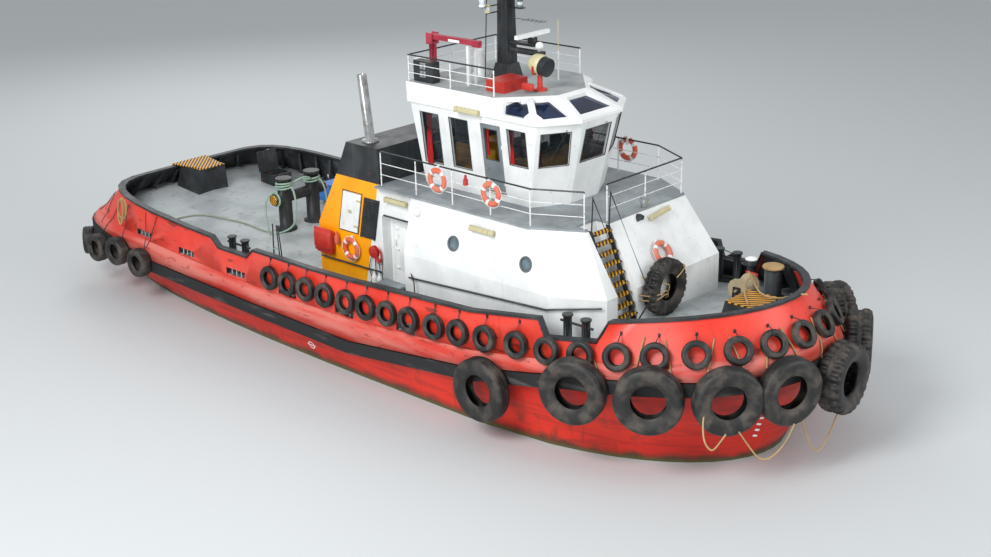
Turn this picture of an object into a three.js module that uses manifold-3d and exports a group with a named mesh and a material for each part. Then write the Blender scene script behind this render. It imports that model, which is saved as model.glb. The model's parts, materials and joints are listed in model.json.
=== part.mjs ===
// Harbour tugboat, afloat. Millimetres, +X to the bow, +Y to port, +Z up.
// The origin is amidships on the centreline, at the waterline.
import * as THREE from 'three';
import { ConvexGeometry } from 'three/addons/geometries/ConvexGeometry.js';
import { mergeVertices } from 'three/addons/utils/BufferGeometryUtils.js';
import Module from 'manifold-3d';

const wasm = await Module();
wasm.setup();
const { Manifold, Mesh: ManifoldMesh } = wasm;

// Driving dimensions
const DEGREE = Math.PI / 180;
const GAP = 0.3; // running gap between pieces that touch
const RAIL_HALF = 4410; // half breadth at the bulwark rail
const CAMBER = 0.05; // rise of the decks towards the centreline, per mm of breadth
const BULWARK_PLATE = 60;
const HOUSE_WALL = 80;
const BOAT_DECK_Z = 5800; // top of the boat deck
const BOAT_DECK_PLATE = 60;
const KNUCKLE_Z = 4110; // where the deckhouse side bends inward
const EAVE_Z = 8300; // lower edge of the wheelhouse roof
const ROOF_Z = 8880; // top of the wheelhouse roof deck
const GUARD_RAIL_HEIGHT = 1050;
const RAIL_PIPE = 24; // radius of guard rail pipes

// Heights along the ship: [x, z]
const deckLine = [
  [-14200, 2620], [-9500, 2260], [-3870, 2010], [720, 2040], [5680, 2400], [9000, 2880], [13600, 3400],
];
const railLine = [
  [-14200, 3520], [-9500, 3290], [-6040, 3160], [-5690, 2870], [-4240, 2870],
  [-3870, 3170], [-1000, 3180], [720, 3240], [2880, 3370], [5680, 3520],
  [8000, 3800], [8200, 3300], [9630, 3420], [9940, 4020], [13600, 4490],
];
const beltLine = [
  [-14200, 2150], [-9500, 1450], [-3870, 1260], [720, 1170], [5680, 1720], [9000, 2350], [13600, 2790],
];

function along(line, x) {
  let i = 0;
  while (i < line.length - 2 && x > line[i + 1][0]) i += 1;
  const [x0, z0] = line[i];
  const [x1, z1] = line[i + 1];
  return z0 + ((x - x0) / (x1 - x0)) * (z1 - z0);
}

const deckHeight = (x, y) => along(deckLine, x) + CAMBER * (RAIL_HALF - Math.abs(y));

// Basic solids
function dropAttributes(geometry) {
  const bare = geometry.clone();
  bare.deleteAttribute('normal');
  bare.deleteAttribute('uv');
  return mergeVertices(bare, 1e-3);
}

function geometryToSolid(geometry) {
  const merged = dropAttributes(geometry);
  return new Manifold(new ManifoldMesh({
    numProp: 3,
    vertProperties: new Float32Array(merged.attributes.position.array),
    triVerts: new Uint32Array(merged.index.array),
  }));
}

const union = (...solids) => solids.reduce((whole, solid) => whole.add(solid));
const cut = (solid, ...tools) => tools.reduce((rest, tool) => rest.subtract(tool), solid);
const mirrorY = (solid) => solid.mirror([0, 1, 0]);
const both = (solid) => solid.add(mirrorY(solid));

function block(x0, x1, y0, y1, z0, z1) {
  const geometry = new THREE.BoxGeometry(x1 - x0, y1 - y0, z1 - z0);
  geometry.translate((x0 + x1) / 2, (y0 + y1) / 2, (z0 + z1) / 2);
  return geometryToSolid(geometry);
}

// A closed skin through rings of points; a closed stack joins its last ring to its first.
function skin(rings, closedStack = false) {
  const count = rings[0].length;
  const positions = rings.flat(2);
  const index = [];
  const last = closedStack ? rings.length : rings.length - 1;
  for (let i = 0; i < last; i += 1) {
    const a = i * count;
    const b = ((i + 1) % rings.length) * count;
    for (let j = 0; j < count; j += 1) {
      const k = (j + 1) % count;
      index.push(a + j, a + k, b + k, a + j, b + k, b + j);
    }
  }
  if (!closedStack) {
    const top = (rings.length - 1) * count;
    const outline = rings[0].map((p) => flatten(p, rings[0]));
    const turn = Math.sign(THREE.ShapeUtils.area(outline));
    THREE.ShapeUtils.triangulateShape(outline, []).forEach((face) => {
      const sameWay = Math.sign(THREE.ShapeUtils.area(face.map((id) => outline[id]))) === turn;
      const [p, q, r] = sameWay ? face : [...face].reverse();
      index.push(p, r, q, top + p, top + q, top + r);
    });
  }
  const geometry = new THREE.BufferGeometry();
  geometry.setAttribute('position', new THREE.Float32BufferAttribute(positions, 3));
  geometry.setIndex(index);
  return orient(geometryToSolid(geometry), geometry);
}

// The ring's points in the plane that suits it best.
function flatten(point, ring) {
  const spread = [0, 1, 2].map((axis) => {
    const values = ring.map((p) => p[axis]);
    return Math.max(...values) - Math.min(...values);
  });
  const drop = spread.indexOf(Math.min(...spread));
  const [u, v] = [0, 1, 2].filter((axis) => axis !== drop);
  return new THREE.Vector2(point[u], point[v]);
}

function orient(solid, geometry) {
  if (solid.volume() > 0) return solid;
  const flipped = geometry.clone();
  const faces = Array.from(geometry.index.array);
  for (let i = 0; i < faces.length; i += 3) [faces[i + 1], faces[i + 2]] = [faces[i + 2], faces[i + 1]];
  flipped.setIndex(faces);
  return geometryToSolid(flipped);
}

// An upright solid between two outlines of [x, y] points at two heights.
const atHeight = (outline, z) => outline.map(([x, y]) => [x, y, z]);
const stack = (lower, z0, upper, z1) => skin([atHeight(lower, z0), atHeight(upper, z1)]);
const slab = (outline, z0, z1) => stack(outline, z0, outline, z1);

// A solid with an [x, z] outline between two breadths.
const atBreadth = (outline, y) => outline.map(([x, z]) => [x, y, z]);
const across = (outline, y0, y1) => skin([atBreadth(outline, y0), atBreadth(outline, y1)]);

// A round bar through a list of points, mitred at its bends.
function bar(points, radius, sides = 8, closed = false) {
  const nodes = points.map((p) => new THREE.Vector3(...p));
  const count = nodes.length;
  const ways = nodes.map((node, i) => {
    const before = closed ? nodes[(i + count - 1) % count] : nodes[Math.max(i - 1, 0)];
    const after = closed ? nodes[(i + 1) % count] : nodes[Math.min(i + 1, count - 1)];
    const into = node.clone().sub(before).normalize();
    const out = after.clone().sub(node).normalize();
    return into.add(out).normalize();
  });
  let side = new THREE.Vector3(0, 0, 1);
  if (Math.abs(ways[0].z) > 0.9) side.set(1, 0, 0);
  const rings = nodes.map((node, i) => {
    side = side.clone().addScaledVector(ways[i], -side.dot(ways[i])).normalize();
    const third = ways[i].clone().cross(side);
    const near = closed || i > 0 ? nodes[(i + count - 1) % count] : nodes[1];
    const straight = node.clone().sub(near).normalize();
    const stretch = 1 / Math.max(Math.abs(straight.dot(ways[i])), 0.4);
    const bend = straight.clone().addScaledVector(ways[i], -straight.dot(ways[i]));
    if (bend.lengthSq() > 1e-9) bend.normalize();
    return Array.from({ length: sides }, (_, k) => {
      const angle = (2 * Math.PI * (k + 0.5)) / sides;
      const arm = side.clone().multiplyScalar(Math.cos(angle)).addScaledVector(third, Math.sin(angle));
      arm.addScaledVector(bend, arm.dot(bend) * (stretch - 1)).multiplyScalar(radius);
      return node.clone().add(arm).toArray();
    });
  });
  return skin(rings, closed);
}

// A turned solid: [radius, height] profile about the Z axis.
function turned(profile, segments, phase = 0) {
  const geometry = new THREE.LatheGeometry(profile.map(([r, z]) => new THREE.Vector2(r, z)), segments);
  geometry.rotateX(Math.PI / 2);
  geometry.rotateZ(phase);
  return orient(geometryToSolid(geometry), dropAttributes(geometry));
}

const convex = (points) => geometryToSolid(new ConvexGeometry(points.map((p) => new THREE.Vector3(...p))));

const post = (x, y, z0, z1, radius, sides = 16) =>
  turned([[0, z0], [radius, z0], [radius, z1], [0, z1]], sides).translate([x, y, 0]);

// Hull levels. half: half breadth; aft, fore: x of the ends; aftX, aftY, nose: how square
// the stern corners and how full the bow are; taper: narrowing aft; z: height of the level.
const AFT_START = -70;
const NOSE_START = 5500;
const level = (half, aft, fore, aftX, aftY, nose, taper, z) => (
  { half, aft, fore, aftX, aftY, nose, taper, z }
);
const flat = (z) => () => z;
const beltUnder = (x) => along(beltLine, x) - 210;
const beltOver = (x) => along(beltLine, x) + 210;
const levels = {
  keel: level(1100, -5600, 9300, 3, 3, 1.7, 0.3, flat(-3100)),
  bilge: level(2900, -7300, 10600, 4, 4, 1.8, 0.3, flat(-2750)),
  turn: level(3700, -9900, 11500, 6, 6, 1.9, 0.25, flat(-1700)),
  side: level(3960, -12700, 12300, 8, 8, 1.95, 0.22, flat(-700)),
  waterline: level(4030, -13270, 12800, 8, 8, 2.0, 0.22, flat(0)),
  beltFoot: level(4400, -13800, 13800, 9, 9, 2.35, 0.02, beltUnder),
  beltHead: level(4420, -13850, 13880, 10, 10, 2.4, 0, beltOver),
  ledge: level(4600, -14100, 14130, 10, 10, 2.4, 0, (x) => beltOver(x) + 10),
  fold: level(4520, -14000, 13960, 9, 9, 2.3, 0, (x, y) => deckHeight(x, y) - 120),
  deck: level(4470, -13850, 13860, 7, 8, 2.28, 0, deckHeight),
  rail: level(RAIL_HALF, -13160, 13220, 5.2, 6.6, 1.98, 0, (x) => along(railLine, x)),
};

const middleStations = [
  -9500, -7500, -6040, -5690, -4240, -3870, -1000, 720, 2880, 5680, 8000, 8200, 9000, 9630, 9940,
];
const FULL_AFT = -12900; // levels that reach past these ends share their stations
const FULL_FORE = 12750;
const STERN_STEPS = 7;
const BOW_STEPS = 8;

function halfBreadth({ half, aft, fore, aftX, aftY, nose, taper }, x) {
  if (x < AFT_START) {
    const reach = (x - AFT_START) / (aft - AFT_START);
    return half * (1 - reach ** aftX) ** (1 / aftY) * (1 - taper * reach ** 2);
  }
  if (x < NOSE_START) return half;
  return half * (1 - ((x - NOSE_START) / (fore - NOSE_START)) ** nose) ** (1 / nose);
}

// One side of a level, [x, y] from the stern on the centreline to the stem.
function sideOutline(shape) {
  const points = [];
  const shrinkAft = Math.min(1, shape.aft / FULL_AFT);
  const shrinkFore = Math.min(1, shape.fore / FULL_FORE);
  const stations = middleStations.map((x) => x * (x < 0 ? shrinkAft : shrinkFore));
  const first = stations[0];
  const final = stations[stations.length - 1];
  const sternReach = (first - AFT_START) / (shape.aft - AFT_START);
  const sternAngle = Math.asin(Math.min(1, sternReach ** (shape.aftX / 2)));
  for (let i = 0; i < STERN_STEPS; i += 1) {
    const angle = Math.PI / 2 + ((sternAngle - Math.PI / 2) * i) / STERN_STEPS;
    const x = AFT_START + (shape.aft - AFT_START) * Math.sin(angle) ** (2 / shape.aftX);
    points.push([x, i === 0 ? 0 : halfBreadth(shape, x)]);
  }
  stations.forEach((x) => points.push([x, halfBreadth(shape, x)]));
  const bowAngle = Math.asin(((final - NOSE_START) / (shape.fore - NOSE_START)) ** (shape.nose / 2));
  for (let i = 1; i <= BOW_STEPS; i += 1) {
    const angle = bowAngle + ((Math.PI / 2 - bowAngle) * i) / BOW_STEPS;
    const x = NOSE_START + (shape.fore - NOSE_START) * Math.sin(angle) ** (2 / shape.nose);
    points.push([x, i === BOW_STEPS ? 0 : halfBreadth(shape, x)]);
  }
  return points;
}

// The whole outline of a level, seen from above, starboard side first.
function loop(shape, grow = 0, lift = 0) {
  const grown = { ...shape, half: shape.half + grow, aft: shape.aft - grow, fore: shape.fore + grow };
  const side = sideOutline(grown);
  const starboard = side.map(([x, y]) => [x, -y]);
  const port = side.slice(1, -1).reverse();
  return [...starboard, ...port].map(([x, y]) => [x, y, shape.z(x, y) + lift]);
}

// Hull with its deck: rings from the keel up, closed by strips across the ship.
function hullSolid() {
  const { rail, ...hullLevels } = levels;
  const rings = Object.values(hullLevels).map((shape) => loop(shape));
  const count = rings[0].length;
  const positions = rings.flat(2);
  const index = [];
  rings.slice(1).forEach((_, i) => {
    const a = i * count;
    const b = a + count;
    for (let j = 0; j < count; j += 1) {
      const k = (j + 1) % count;
      index.push(a + j, a + k, b + k, a + j, b + k, b + j);
    }
  });
  const half = count / 2;
  const cap = (base, middles, turnOver) => {
    for (let j = 0; j < half; j += 1) {
      const starboard = [base + j, base + j + 1];
      const port = [base + ((count - j) % count), base + count - j - 1];
      const centre = [middles[j], middles[j + 1]];
      [[starboard, centre], [centre, port]].forEach(([left, right]) => {
        const faces = [[left[0], left[1], right[1]], [left[0], right[1], right[0]]];
        faces.filter((f) => new Set(f).size === 3)
          .forEach(([p, q, r]) => index.push(...(turnOver ? [p, r, q] : [p, q, r])));
      });
    }
  };
  const addCentres = (ring, base, heightAt) => {
    const ids = [base];
    for (let j = 1; j < half; j += 1) {
      ids.push(positions.length / 3);
      positions.push(ring[j][0], 0, heightAt(ring[j][0]));
    }
    return [...ids, base + half];
  };
  const top = (rings.length - 1) * count;
  cap(0, addCentres(rings[0], 0, () => rings[0][0][2]), true);
  cap(top, addCentres(rings[rings.length - 1], top, (x) => deckHeight(x, 0)), false);
  const geometry = new THREE.BufferGeometry();
  geometry.setAttribute('position', new THREE.Float32BufferAttribute(positions, 3));
  geometry.setIndex(index);
  return orient(geometryToSolid(geometry), geometry);
}

// Everything up to just above the deck, which trims the feet of what stands on it.
const underDeck = skin(deckLine.map(([x]) => {
  const wide = 6000;
  const edge = deckHeight(x, wide) + GAP;
  const low = -1000;
  return [[x, -wide, edge], [x, 0, deckHeight(x, 0) + GAP], [x, wide, edge], [x, wide, low], [x, -wide, low]];
}));
const onDeck = (solid) => cut(solid, underDeck);

// A band around the ship between four loops: outer foot, outer head, inner head, inner foot.
const band = (...loops) => {
  const rings = loops[0].map((_, i) => loops.map((one) => one[i]));
  return skin(rings, true);
};

// Names and materials
const tug = new THREE.Group();
const paint = (color, roughness, metalness = 0) => (
  new THREE.MeshStandardMaterial({ color, roughness, metalness })
);
const materials = {
  hullRed: paint(0xc8281e, 0.45),
  black: paint(0x1d2023, 0.5),
  rubber: paint(0x26262a, 0.85),
  white: paint(0xe9ecee, 0.4),
  grey: paint(0x8b9398, 0.65),
  yellow: paint(0xf2a500, 0.45),
  crimson: paint(0x9c1f36, 0.5),
  steel: paint(0xb4b8bb, 0.3, 0.9),
  bronze: paint(0xb08642, 0.35, 0.9),
  glass: paint(0x16222b, 0.1),
  rope: paint(0xb9ad8c, 0.9),
};

function add(name, solid, material) {
  const { numProp, vertProperties, triVerts } = solid.getMesh();
  const points = new Float32Array((vertProperties.length / numProp) * 3);
  for (let i = 0; i < points.length / 3; i += 1) {
    points.set(vertProperties.subarray(i * numProp, i * numProp + 3), i * 3);
  }
  const geometry = new THREE.BufferGeometry();
  geometry.setAttribute('position', new THREE.BufferAttribute(points, 3));
  geometry.setIndex(new THREE.BufferAttribute(new Uint32Array(triVerts), 1));
  geometry.computeVertexNormals();
  const mesh = new THREE.Mesh(geometry, material);
  mesh.name = name;
  tug.add(mesh);
}

// Underwater gear: twin steerable stern drives, each with its propeller in a nozzle
const DRIVE = {
  x: -9300, y: 2150, seatZ: -2150, hubZ: -3550, hubRadius: 300, hubFace: 260,
  nozzleOuter: 1080, nozzleInner: 985, nozzleLength: 950, bladeTip: 955,
};

const skeg = across([[-7000, -2700], [8800, -2900], [7600, -3900], [-5600, -3900]], -160, 160);
const driveStub = both(post(DRIVE.x, DRIVE.y, DRIVE.seatZ, -1000, 620, 20));
add('hull', union(hullSolid(), skeg, driveStub), materials.hullRed);

function driveLeg(y) {
  const end = DRIVE.nozzleLength / 2;
  const top = DRIVE.seatZ - GAP - DRIVE.hubZ;
  const nozzle = turned([
    [DRIVE.nozzleInner + 40, -end], [DRIVE.nozzleInner, 60], [DRIVE.nozzleInner, 150],
    [DRIVE.nozzleInner + 60, end], [DRIVE.nozzleOuter, end - 40],
    [DRIVE.nozzleOuter, -end], [DRIVE.nozzleInner + 40, -end],
  ], 24).rotate([0, 90, 0]);
  const leg = stack(
    [[-260, -90], [0, -150], [300, -60], [300, 60], [0, 150], [-260, 90]], 0,
    [[-420, -200], [0, -300], [420, -160], [420, 160], [0, 300], [-420, 200]], top - 60,
  );
  const collar = post(0, 0, top - 90, top, 560, 20);
  const pod = turned([
    [0, -520], [190, -420], [DRIVE.hubRadius, -150], [DRIVE.hubRadius, DRIVE.hubFace], [0, DRIVE.hubFace],
  ], 16).rotate([0, 90, 0]);
  const struts = both(block(-160, -40, 150, DRIVE.nozzleInner + 40, -40, 40));
  const foot = block(-160, -40, -40, 40, -DRIVE.nozzleInner - 40, -150);
  const bladeRoom = block(30, 900, -400, 400, -200, DRIVE.nozzleInner);
  return union(nozzle, cut(leg, bladeRoom), collar, pod, struts, foot).translate([DRIVE.x, y, DRIVE.hubZ]);
}

function propeller(y) {
  const face = DRIVE.hubFace + GAP;
  const hub = turned([
    [0, face], [DRIVE.hubRadius - 10, face], [DRIVE.hubRadius - 40, 420], [90, 640], [0, 660],
  ], 16).rotate([0, 90, 0]);
  const blades = [0, 1, 2, 3].map((i) => {
    const blade = stack(
      [[-120, -30], [120, -30], [120, 30], [-120, 30]], 150,
      [[-190, -16], [190, -16], [190, 16], [-190, 16]], DRIVE.bladeTip - 60,
    ).rotate([0, 0, 58]).translate([400, 0, 0]);
    return blade.rotate([90 * i + 20, 0, 0]);
  });
  const trim = turned([[0, 0], [DRIVE.bladeTip, 0], [DRIVE.bladeTip, 900], [0, 900]], 32).rotate([0, 90, 0]);
  return union(hub, ...blades).intersect(trim).translate([DRIVE.x, y, DRIVE.hubZ]);
}

[['starboard', -1], ['port', 1]].forEach(([side, sign]) => {
  add(`drive_${side}`, driveLeg(sign * DRIVE.y), materials.black);
  add(`propeller_${side}`, propeller(sign * DRIVE.y), materials.bronze);
});

// Bulwark: a ring wall on the deck edge with rope dips and freeing ports
const wall = BULWARK_PLATE;
const bulwarkFoot = { ...levels.deck, z: (x, y) => deckHeight(x, y) + GAP };
const bulwarkRing = band(
  loop(bulwarkFoot), loop(levels.rail),
  loop(levels.rail, -wall), loop(bulwarkFoot, -wall),
);
// Freeing ports: [aft end, fore end, height over the deck]
const freeingPorts = [
  [-10400, -9500], [-7900, -7050], [-5300, -4350], [-2650, -1800], [0, 850], [2700, 3500],
];
const portCuts = freeingPorts.map(([a, b]) => (
  block(a, b, 4000, 5000, deckHeight(a, RAIL_HALF) + 40, deckHeight(b, RAIL_HALF) + 300)
));
add('bulwark', cut(bulwarkRing, ...portCuts, ...portCuts.map(mirrorY)), materials.hullRed);

const CAP_HEIGHT = 70;
add('bulwark_rail', band(
  loop(levels.rail, 50, GAP), loop(levels.rail, 50, GAP + CAP_HEIGHT),
  loop(levels.rail, -160, GAP + CAP_HEIGHT), loop(levels.rail, -160, GAP),
), materials.black);

// Rubbing belt under the ledge, its back lying on the hull between the belt levels
const BELT_HALF = 190;
const BELT_SEAT = 1.3; // from the hull to the belt's back
const beltOuter = (side) => loop({
  ...levels.beltHead, half: 4640, aft: -14120, fore: 14170, z: (x) => along(beltLine, x) + side * BELT_HALF,
});
const beltSeat = (side) => {
  const foot = loop(levels.beltFoot);
  const head = loop(levels.beltHead);
  const share = 0.5 + (side * BELT_HALF) / 420;
  return foot.map((point, i) => {
    const [x, y, z] = point.map((value, axis) => value + (head[i][axis] - value) * share);
    return [x + Math.sign(x) * BELT_SEAT, y + Math.sign(y) * BELT_SEAT, z];
  });
};
add('fender_belt', band(beltSeat(-1), beltSeat(1), beltOuter(1), beltOuter(-1)), materials.rubber);

// Plans of the superstructure: an aft edge, a side, a chamfer and a front, mirrored to port
const plan = (aft, side, shoulder, front, frontHalf) => ({ aft, side, shoulder, front, frontHalf });

// The plan with its edges moved out by their own distances, each staying parallel.
function widen(base, { aft = 0, side = 0, chamfer = 0, front = 0 }) {
  const runX = base.front - base.shoulder;
  const runY = base.side - base.frontHalf;
  const length = Math.hypot(runX, runY);
  const [nx, ny] = [runY / length, runX / length];
  const reach = nx * base.shoulder + ny * base.side + chamfer;
  const newSide = base.side + side;
  const newFront = base.front + front;
  return plan(base.aft - aft, newSide, (reach - ny * newSide) / nx, newFront, (reach - nx * newFront) / ny);
}
const inset = (base, d) => widen(base, { aft: -d, side: -d, chamfer: -d, front: -d });
function outlineOf({ aft, side, shoulder, front, frontHalf }) {
  const half = [[aft, side], [shoulder, side], [front, frontHalf]];
  return [...half.map(([x, y]) => [x, -y]), ...[...half].reverse()];
}

// A storey: its walls are planes from the foot plan at z0 to the head plan at z1, leaning by lean.
const storey = (foot, z0, lean, z1) => ({
  at: (z, d = 0) => {
    const rise = (z - z0) / (z1 - z0);
    const shift = Object.fromEntries(Object.entries(lean).map(([edge, value]) => [edge, value * rise]));
    return outlineOf(inset(widen(foot, shift), d));
  },
});
const storeySolid = (one, z0, z1, d = 0) => stack(one.at(z0, d), z0, one.at(z1, d), z1);
const storeyWall = (one, z0, z1, outer, inner) => (
  cut(storeySolid(one, z0, z1, outer), storeySolid(one, z0 - 20, z1 + 20, inner))
);

// Deckhouse: hollow, its upper side leaning in over the knuckle, with door recesses aft
const deckFloor = 1500; // below every deck, trimmed by the deck itself
const HOUSE = { aft: 450, side: 2800, recessAft: 500, recessSide: 2450, recessTop: 4850, lowerAft: 2000 };
const houseFoot = plan(HOUSE.lowerAft, 3350, 7600, 9050, 2580);
const houseLean = { aft: 0, side: -400, chamfer: -803, front: -1050 };
const houseUpper = storey(houseFoot, KNUCKLE_Z, houseLean, BOAT_DECK_Z);
function houseSolid(d, top) {
  const lower = slab(outlineOf(inset(houseFoot, d)), deckFloor - d, KNUCKLE_Z);
  const upper = storeySolid(houseUpper, KNUCKLE_Z, top, d);
  const side = HOUSE.side - d;
  const aftPart = block(HOUSE.aft + d, HOUSE.lowerAft + 200, -side, side, deckFloor - d, top);
  const recess = both(block(
    HOUSE.recessAft - d, HOUSE.lowerAft + d, HOUSE.recessSide - d, 4000, deckFloor - 200, HOUSE.recessTop + d,
  ));
  return cut(union(lower, upper, aftPart), recess);
}

// Stair slot in the front of the house, starboard of the centreline
const STAIR = { y0: -2130, y1: -1280, topX: 7560 };
const stairSlot = (grow) => across([
  [STAIR.topX - grow, BOAT_DECK_Z + 500], [STAIR.topX - grow, BOAT_DECK_Z - 100],
  [houseFoot.front - 350 - grow, 3300], [houseFoot.front - 350 - grow, deckFloor - 250],
  [houseFoot.front + 900, deckFloor - 250], [houseFoot.front + 900, BOAT_DECK_Z + 500],
], STAIR.y0 - grow, STAIR.y1 + grow);

const houseTop = BOAT_DECK_Z - BOAT_DECK_PLATE - GAP;
const DOOR = { x0: 620, x1: 1380, z0: 2900, z1: 4700, thick: 50, fit: 8 };
// Door hinges: barrels on a pin line just outside the wall, the leaf's over the wall's
const HINGE = { radius: 11, reach: 14, height: 110, strap: 56, seats: [3150, 4340] };
function hingePair(x, wallAt, z, play) {
  const axis = (height) => [x, wallAt(height) + HINGE.reach, height];
  const strap = (x0, x1, z0, z1) => skin([z0, z1].map((height) => [
    [x0, wallAt(height) - 5, height], [x1, wallAt(height) - 5, height],
    [x1, axis(height)[1], height], [x0, axis(height)[1], height],
  ]));
  const top = z + HINGE.height;
  const foot = z - HINGE.height;
  return {
    leaf: union(bar([axis(z + play), axis(top)], HINGE.radius, 8), strap(x - HINGE.strap, x, z + play, top)),
    wall: union(bar([axis(foot), axis(z)], HINGE.radius, 8), strap(x, x + HINGE.strap, foot, z)),
  };
}
const doorCut = both(block(
  DOOR.x0, DOOR.x1, HOUSE.recessSide - 200, HOUSE.recessSide + 100, DOOR.z0, DOOR.z1,
));
const PORTHOLE = { radius: 180, z: 4790, y: 3170, xs: [3900, 6680] };
const portholeCuts = both(union(...PORTHOLE.xs.map((x) => (
  post(0, 0, -400, 400, PORTHOLE.radius, 16).rotate([90, 0, 0]).translate([x, PORTHOLE.y, PORTHOLE.z])
))));
const houseShell = cut(
  cut(houseSolid(0, houseTop), stairSlot(0)),
  cut(houseSolid(HOUSE_WALL, houseTop + 50), stairSlot(HOUSE_WALL)), doorCut, portholeCuts,
);
const doorHinges = HINGE.seats.map((z) => hingePair(DOOR.x1 - 4, () => HOUSE.recessSide, z, GAP));
add('deckhouse', union(
  onDeck(houseShell), ...doorHinges.map((hinge) => both(hinge.wall)),
), materials.white);

// Deckhouse doors, hinged on their forward edge, flush in the recess wall
const doorLeaf = union(block(
  DOOR.x0 + DOOR.fit, DOOR.x1 - DOOR.fit, HOUSE.recessSide - DOOR.thick, HOUSE.recessSide,
  DOOR.z0 + DOOR.fit, DOOR.z1 - DOOR.fit,
), ...doorHinges.map((hinge) => hinge.leaf));
add('deckhouse_door_starboard', mirrorY(doorLeaf), materials.white);
add('deckhouse_door_port', doorLeaf, materials.white);

// Boat deck
const boatDeckPlan = plan(HOUSE.aft, 3010, 6620, 8020, 2240);
add('boat_deck', cut(
  slab(outlineOf(boatDeckPlan), BOAT_DECK_Z - BOAT_DECK_PLATE, BOAT_DECK_Z), stairSlot(0),
), materials.grey);

// Engine casing aft of the house, yellow below and black above, aft face raked over a knee
const CASING = {
  fore: HOUSE.aft - GAP, knee: -2450, kneeZ: 4070, topAft: -1480, side: 2800, blackTopAft: -960, topZ: 6900,
};
add('casing', onDeck(across([
  [CASING.knee, deckFloor], [CASING.fore, deckFloor], [CASING.fore, BOAT_DECK_Z],
  [CASING.topAft, BOAT_DECK_Z], [CASING.knee, CASING.kneeZ],
], -CASING.side, CASING.side)), materials.yellow);
add('casing_top', across([
  [CASING.topAft, BOAT_DECK_Z + GAP], [CASING.fore, BOAT_DECK_Z + GAP],
  [CASING.fore, CASING.topZ], [CASING.blackTopAft, CASING.topZ],
], -CASING.side, CASING.side), materials.black);
const PIPE = { x: -400, y: -2300, radius: 150, topX: -650, topZ: 8930 };
const pipeFoot = CASING.topZ + GAP;
const pipeAxis = (z) => {
  const share = (z - pipeFoot) / (PIPE.topZ - pipeFoot);
  return [PIPE.x + (PIPE.topX - PIPE.x) * share, PIPE.y, z];
};
add('exhaust_pipe', cut(
  post(PIPE.x, PIPE.y, pipeFoot, pipeFoot + 50, 260, 20)
    .add(bar([pipeAxis(pipeFoot + 20), pipeAxis(PIPE.topZ)], PIPE.radius, 20)),
  bar([pipeAxis(pipeFoot + 700), pipeAxis(PIPE.topZ + 200)], PIPE.radius - 15, 20),
), materials.steel);

// Side panels of the casing: a raked service hatch, hinged forward, and a louvre beside it
const rakedPanel = ({ x0, x1, z0, z1, rake, thick }, y) => across([
  [x0 - rake * (z1 - z0), z0], [x1 - rake * (z1 - z0), z0], [x1, z1], [x0, z1],
], y, y + thick);
const HATCH = { x0: -1180, x1: -370, z0: 4050, z1: 5320, rake: 0.212, thick: 30 };
add('casing_hatch', mirrorY(rakedPanel(HATCH, CASING.side + GAP)), materials.white);
const LOUVRE = { x0: -180, x1: 440, z0: 3990, z1: 5280, rake: 0.212, thick: 40 };
add('casing_louvre', mirrorY(rakedPanel(LOUVRE, CASING.side + GAP)), materials.black);

// Wheelhouse: hollow walls leaning out to the eave, windows and side doors cut
const BRIDGE_WALL = 80;
const bridgeLean = { aft: 260, side: 280, chamfer: 600, front: 600 };
const bridge = storey(plan(1300, 1650, 5500, 6100, 600), BOAT_DECK_Z, bridgeLean, EAVE_Z);
const bridgeFoot = BOAT_DECK_Z + GAP;
// Side windows: aft end, fore end, sill, head
const sideWindows = [[1400, 2150, 6480, 8040], [2580, 3330, 6520, 8040], [4860, 5560, 6980, 8040]];
const SIDE_DOOR = { x0: 3830, x1: 4600, z0: 6080, z1: 8070 };
const sideCuts = sideWindows.map(([a, b, z0, z1]) => block(a, b, 1000, 3000, z0, z1));
const sideDoorCut = block(SIDE_DOOR.x0, SIDE_DOOR.x1, 1000, 3000, SIDE_DOOR.z0, SIDE_DOOR.z1);
const frontCut = block(6000, 8000, -560, 560, 7040, 8040);
const aftCut = block(0, 2000, 250, 1250, 6900, 8040);
const CHAMFER_TURN = -60.3; // the chamfer's run from the X axis, in degrees
const chamferCut = block(-450, 450, -500, 500, 7020, 8040)
  .rotate([0, 0, CHAMFER_TURN]).translate([6100, 1300, 0]);
const bridgeSide = (z) => 1650 + (bridgeLean.side * (z - BOAT_DECK_Z)) / (EAVE_Z - BOAT_DECK_Z);
const bridgeHinges = [6400, 7500].map((z) => hingePair(SIDE_DOOR.x1 - 4, bridgeSide, z, 2));
add('wheelhouse', union(
  cut(
    storeyWall(bridge, bridgeFoot, EAVE_Z, 0, BRIDGE_WALL),
    both(union(...sideCuts, sideDoorCut, chamferCut, aftCut)), frontCut,
  ),
  ...bridgeHinges.map((hinge) => both(hinge.wall)),
), materials.white);

const doorBox = block(
  SIDE_DOOR.x0 + DOOR.fit, SIDE_DOOR.x1 - DOOR.fit, 1000, 3000,
  SIDE_DOOR.z0 + DOOR.fit, SIDE_DOOR.z1 - DOOR.fit,
);
const doorWindow = block(SIDE_DOOR.x0 + 130, SIDE_DOOR.x1 - 130, 1000, 3000, 7000, 7930);
const bridgeDoor = union(
  cut(storeyWall(bridge, bridgeFoot, EAVE_Z, 0, 45).intersect(doorBox), doorWindow),
  ...bridgeHinges.map((hinge) => hinge.leaf),
);
add('wheelhouse_door_starboard', mirrorY(bridgeDoor), materials.grey);
add('wheelhouse_door_port', bridgeDoor, materials.grey);

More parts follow.
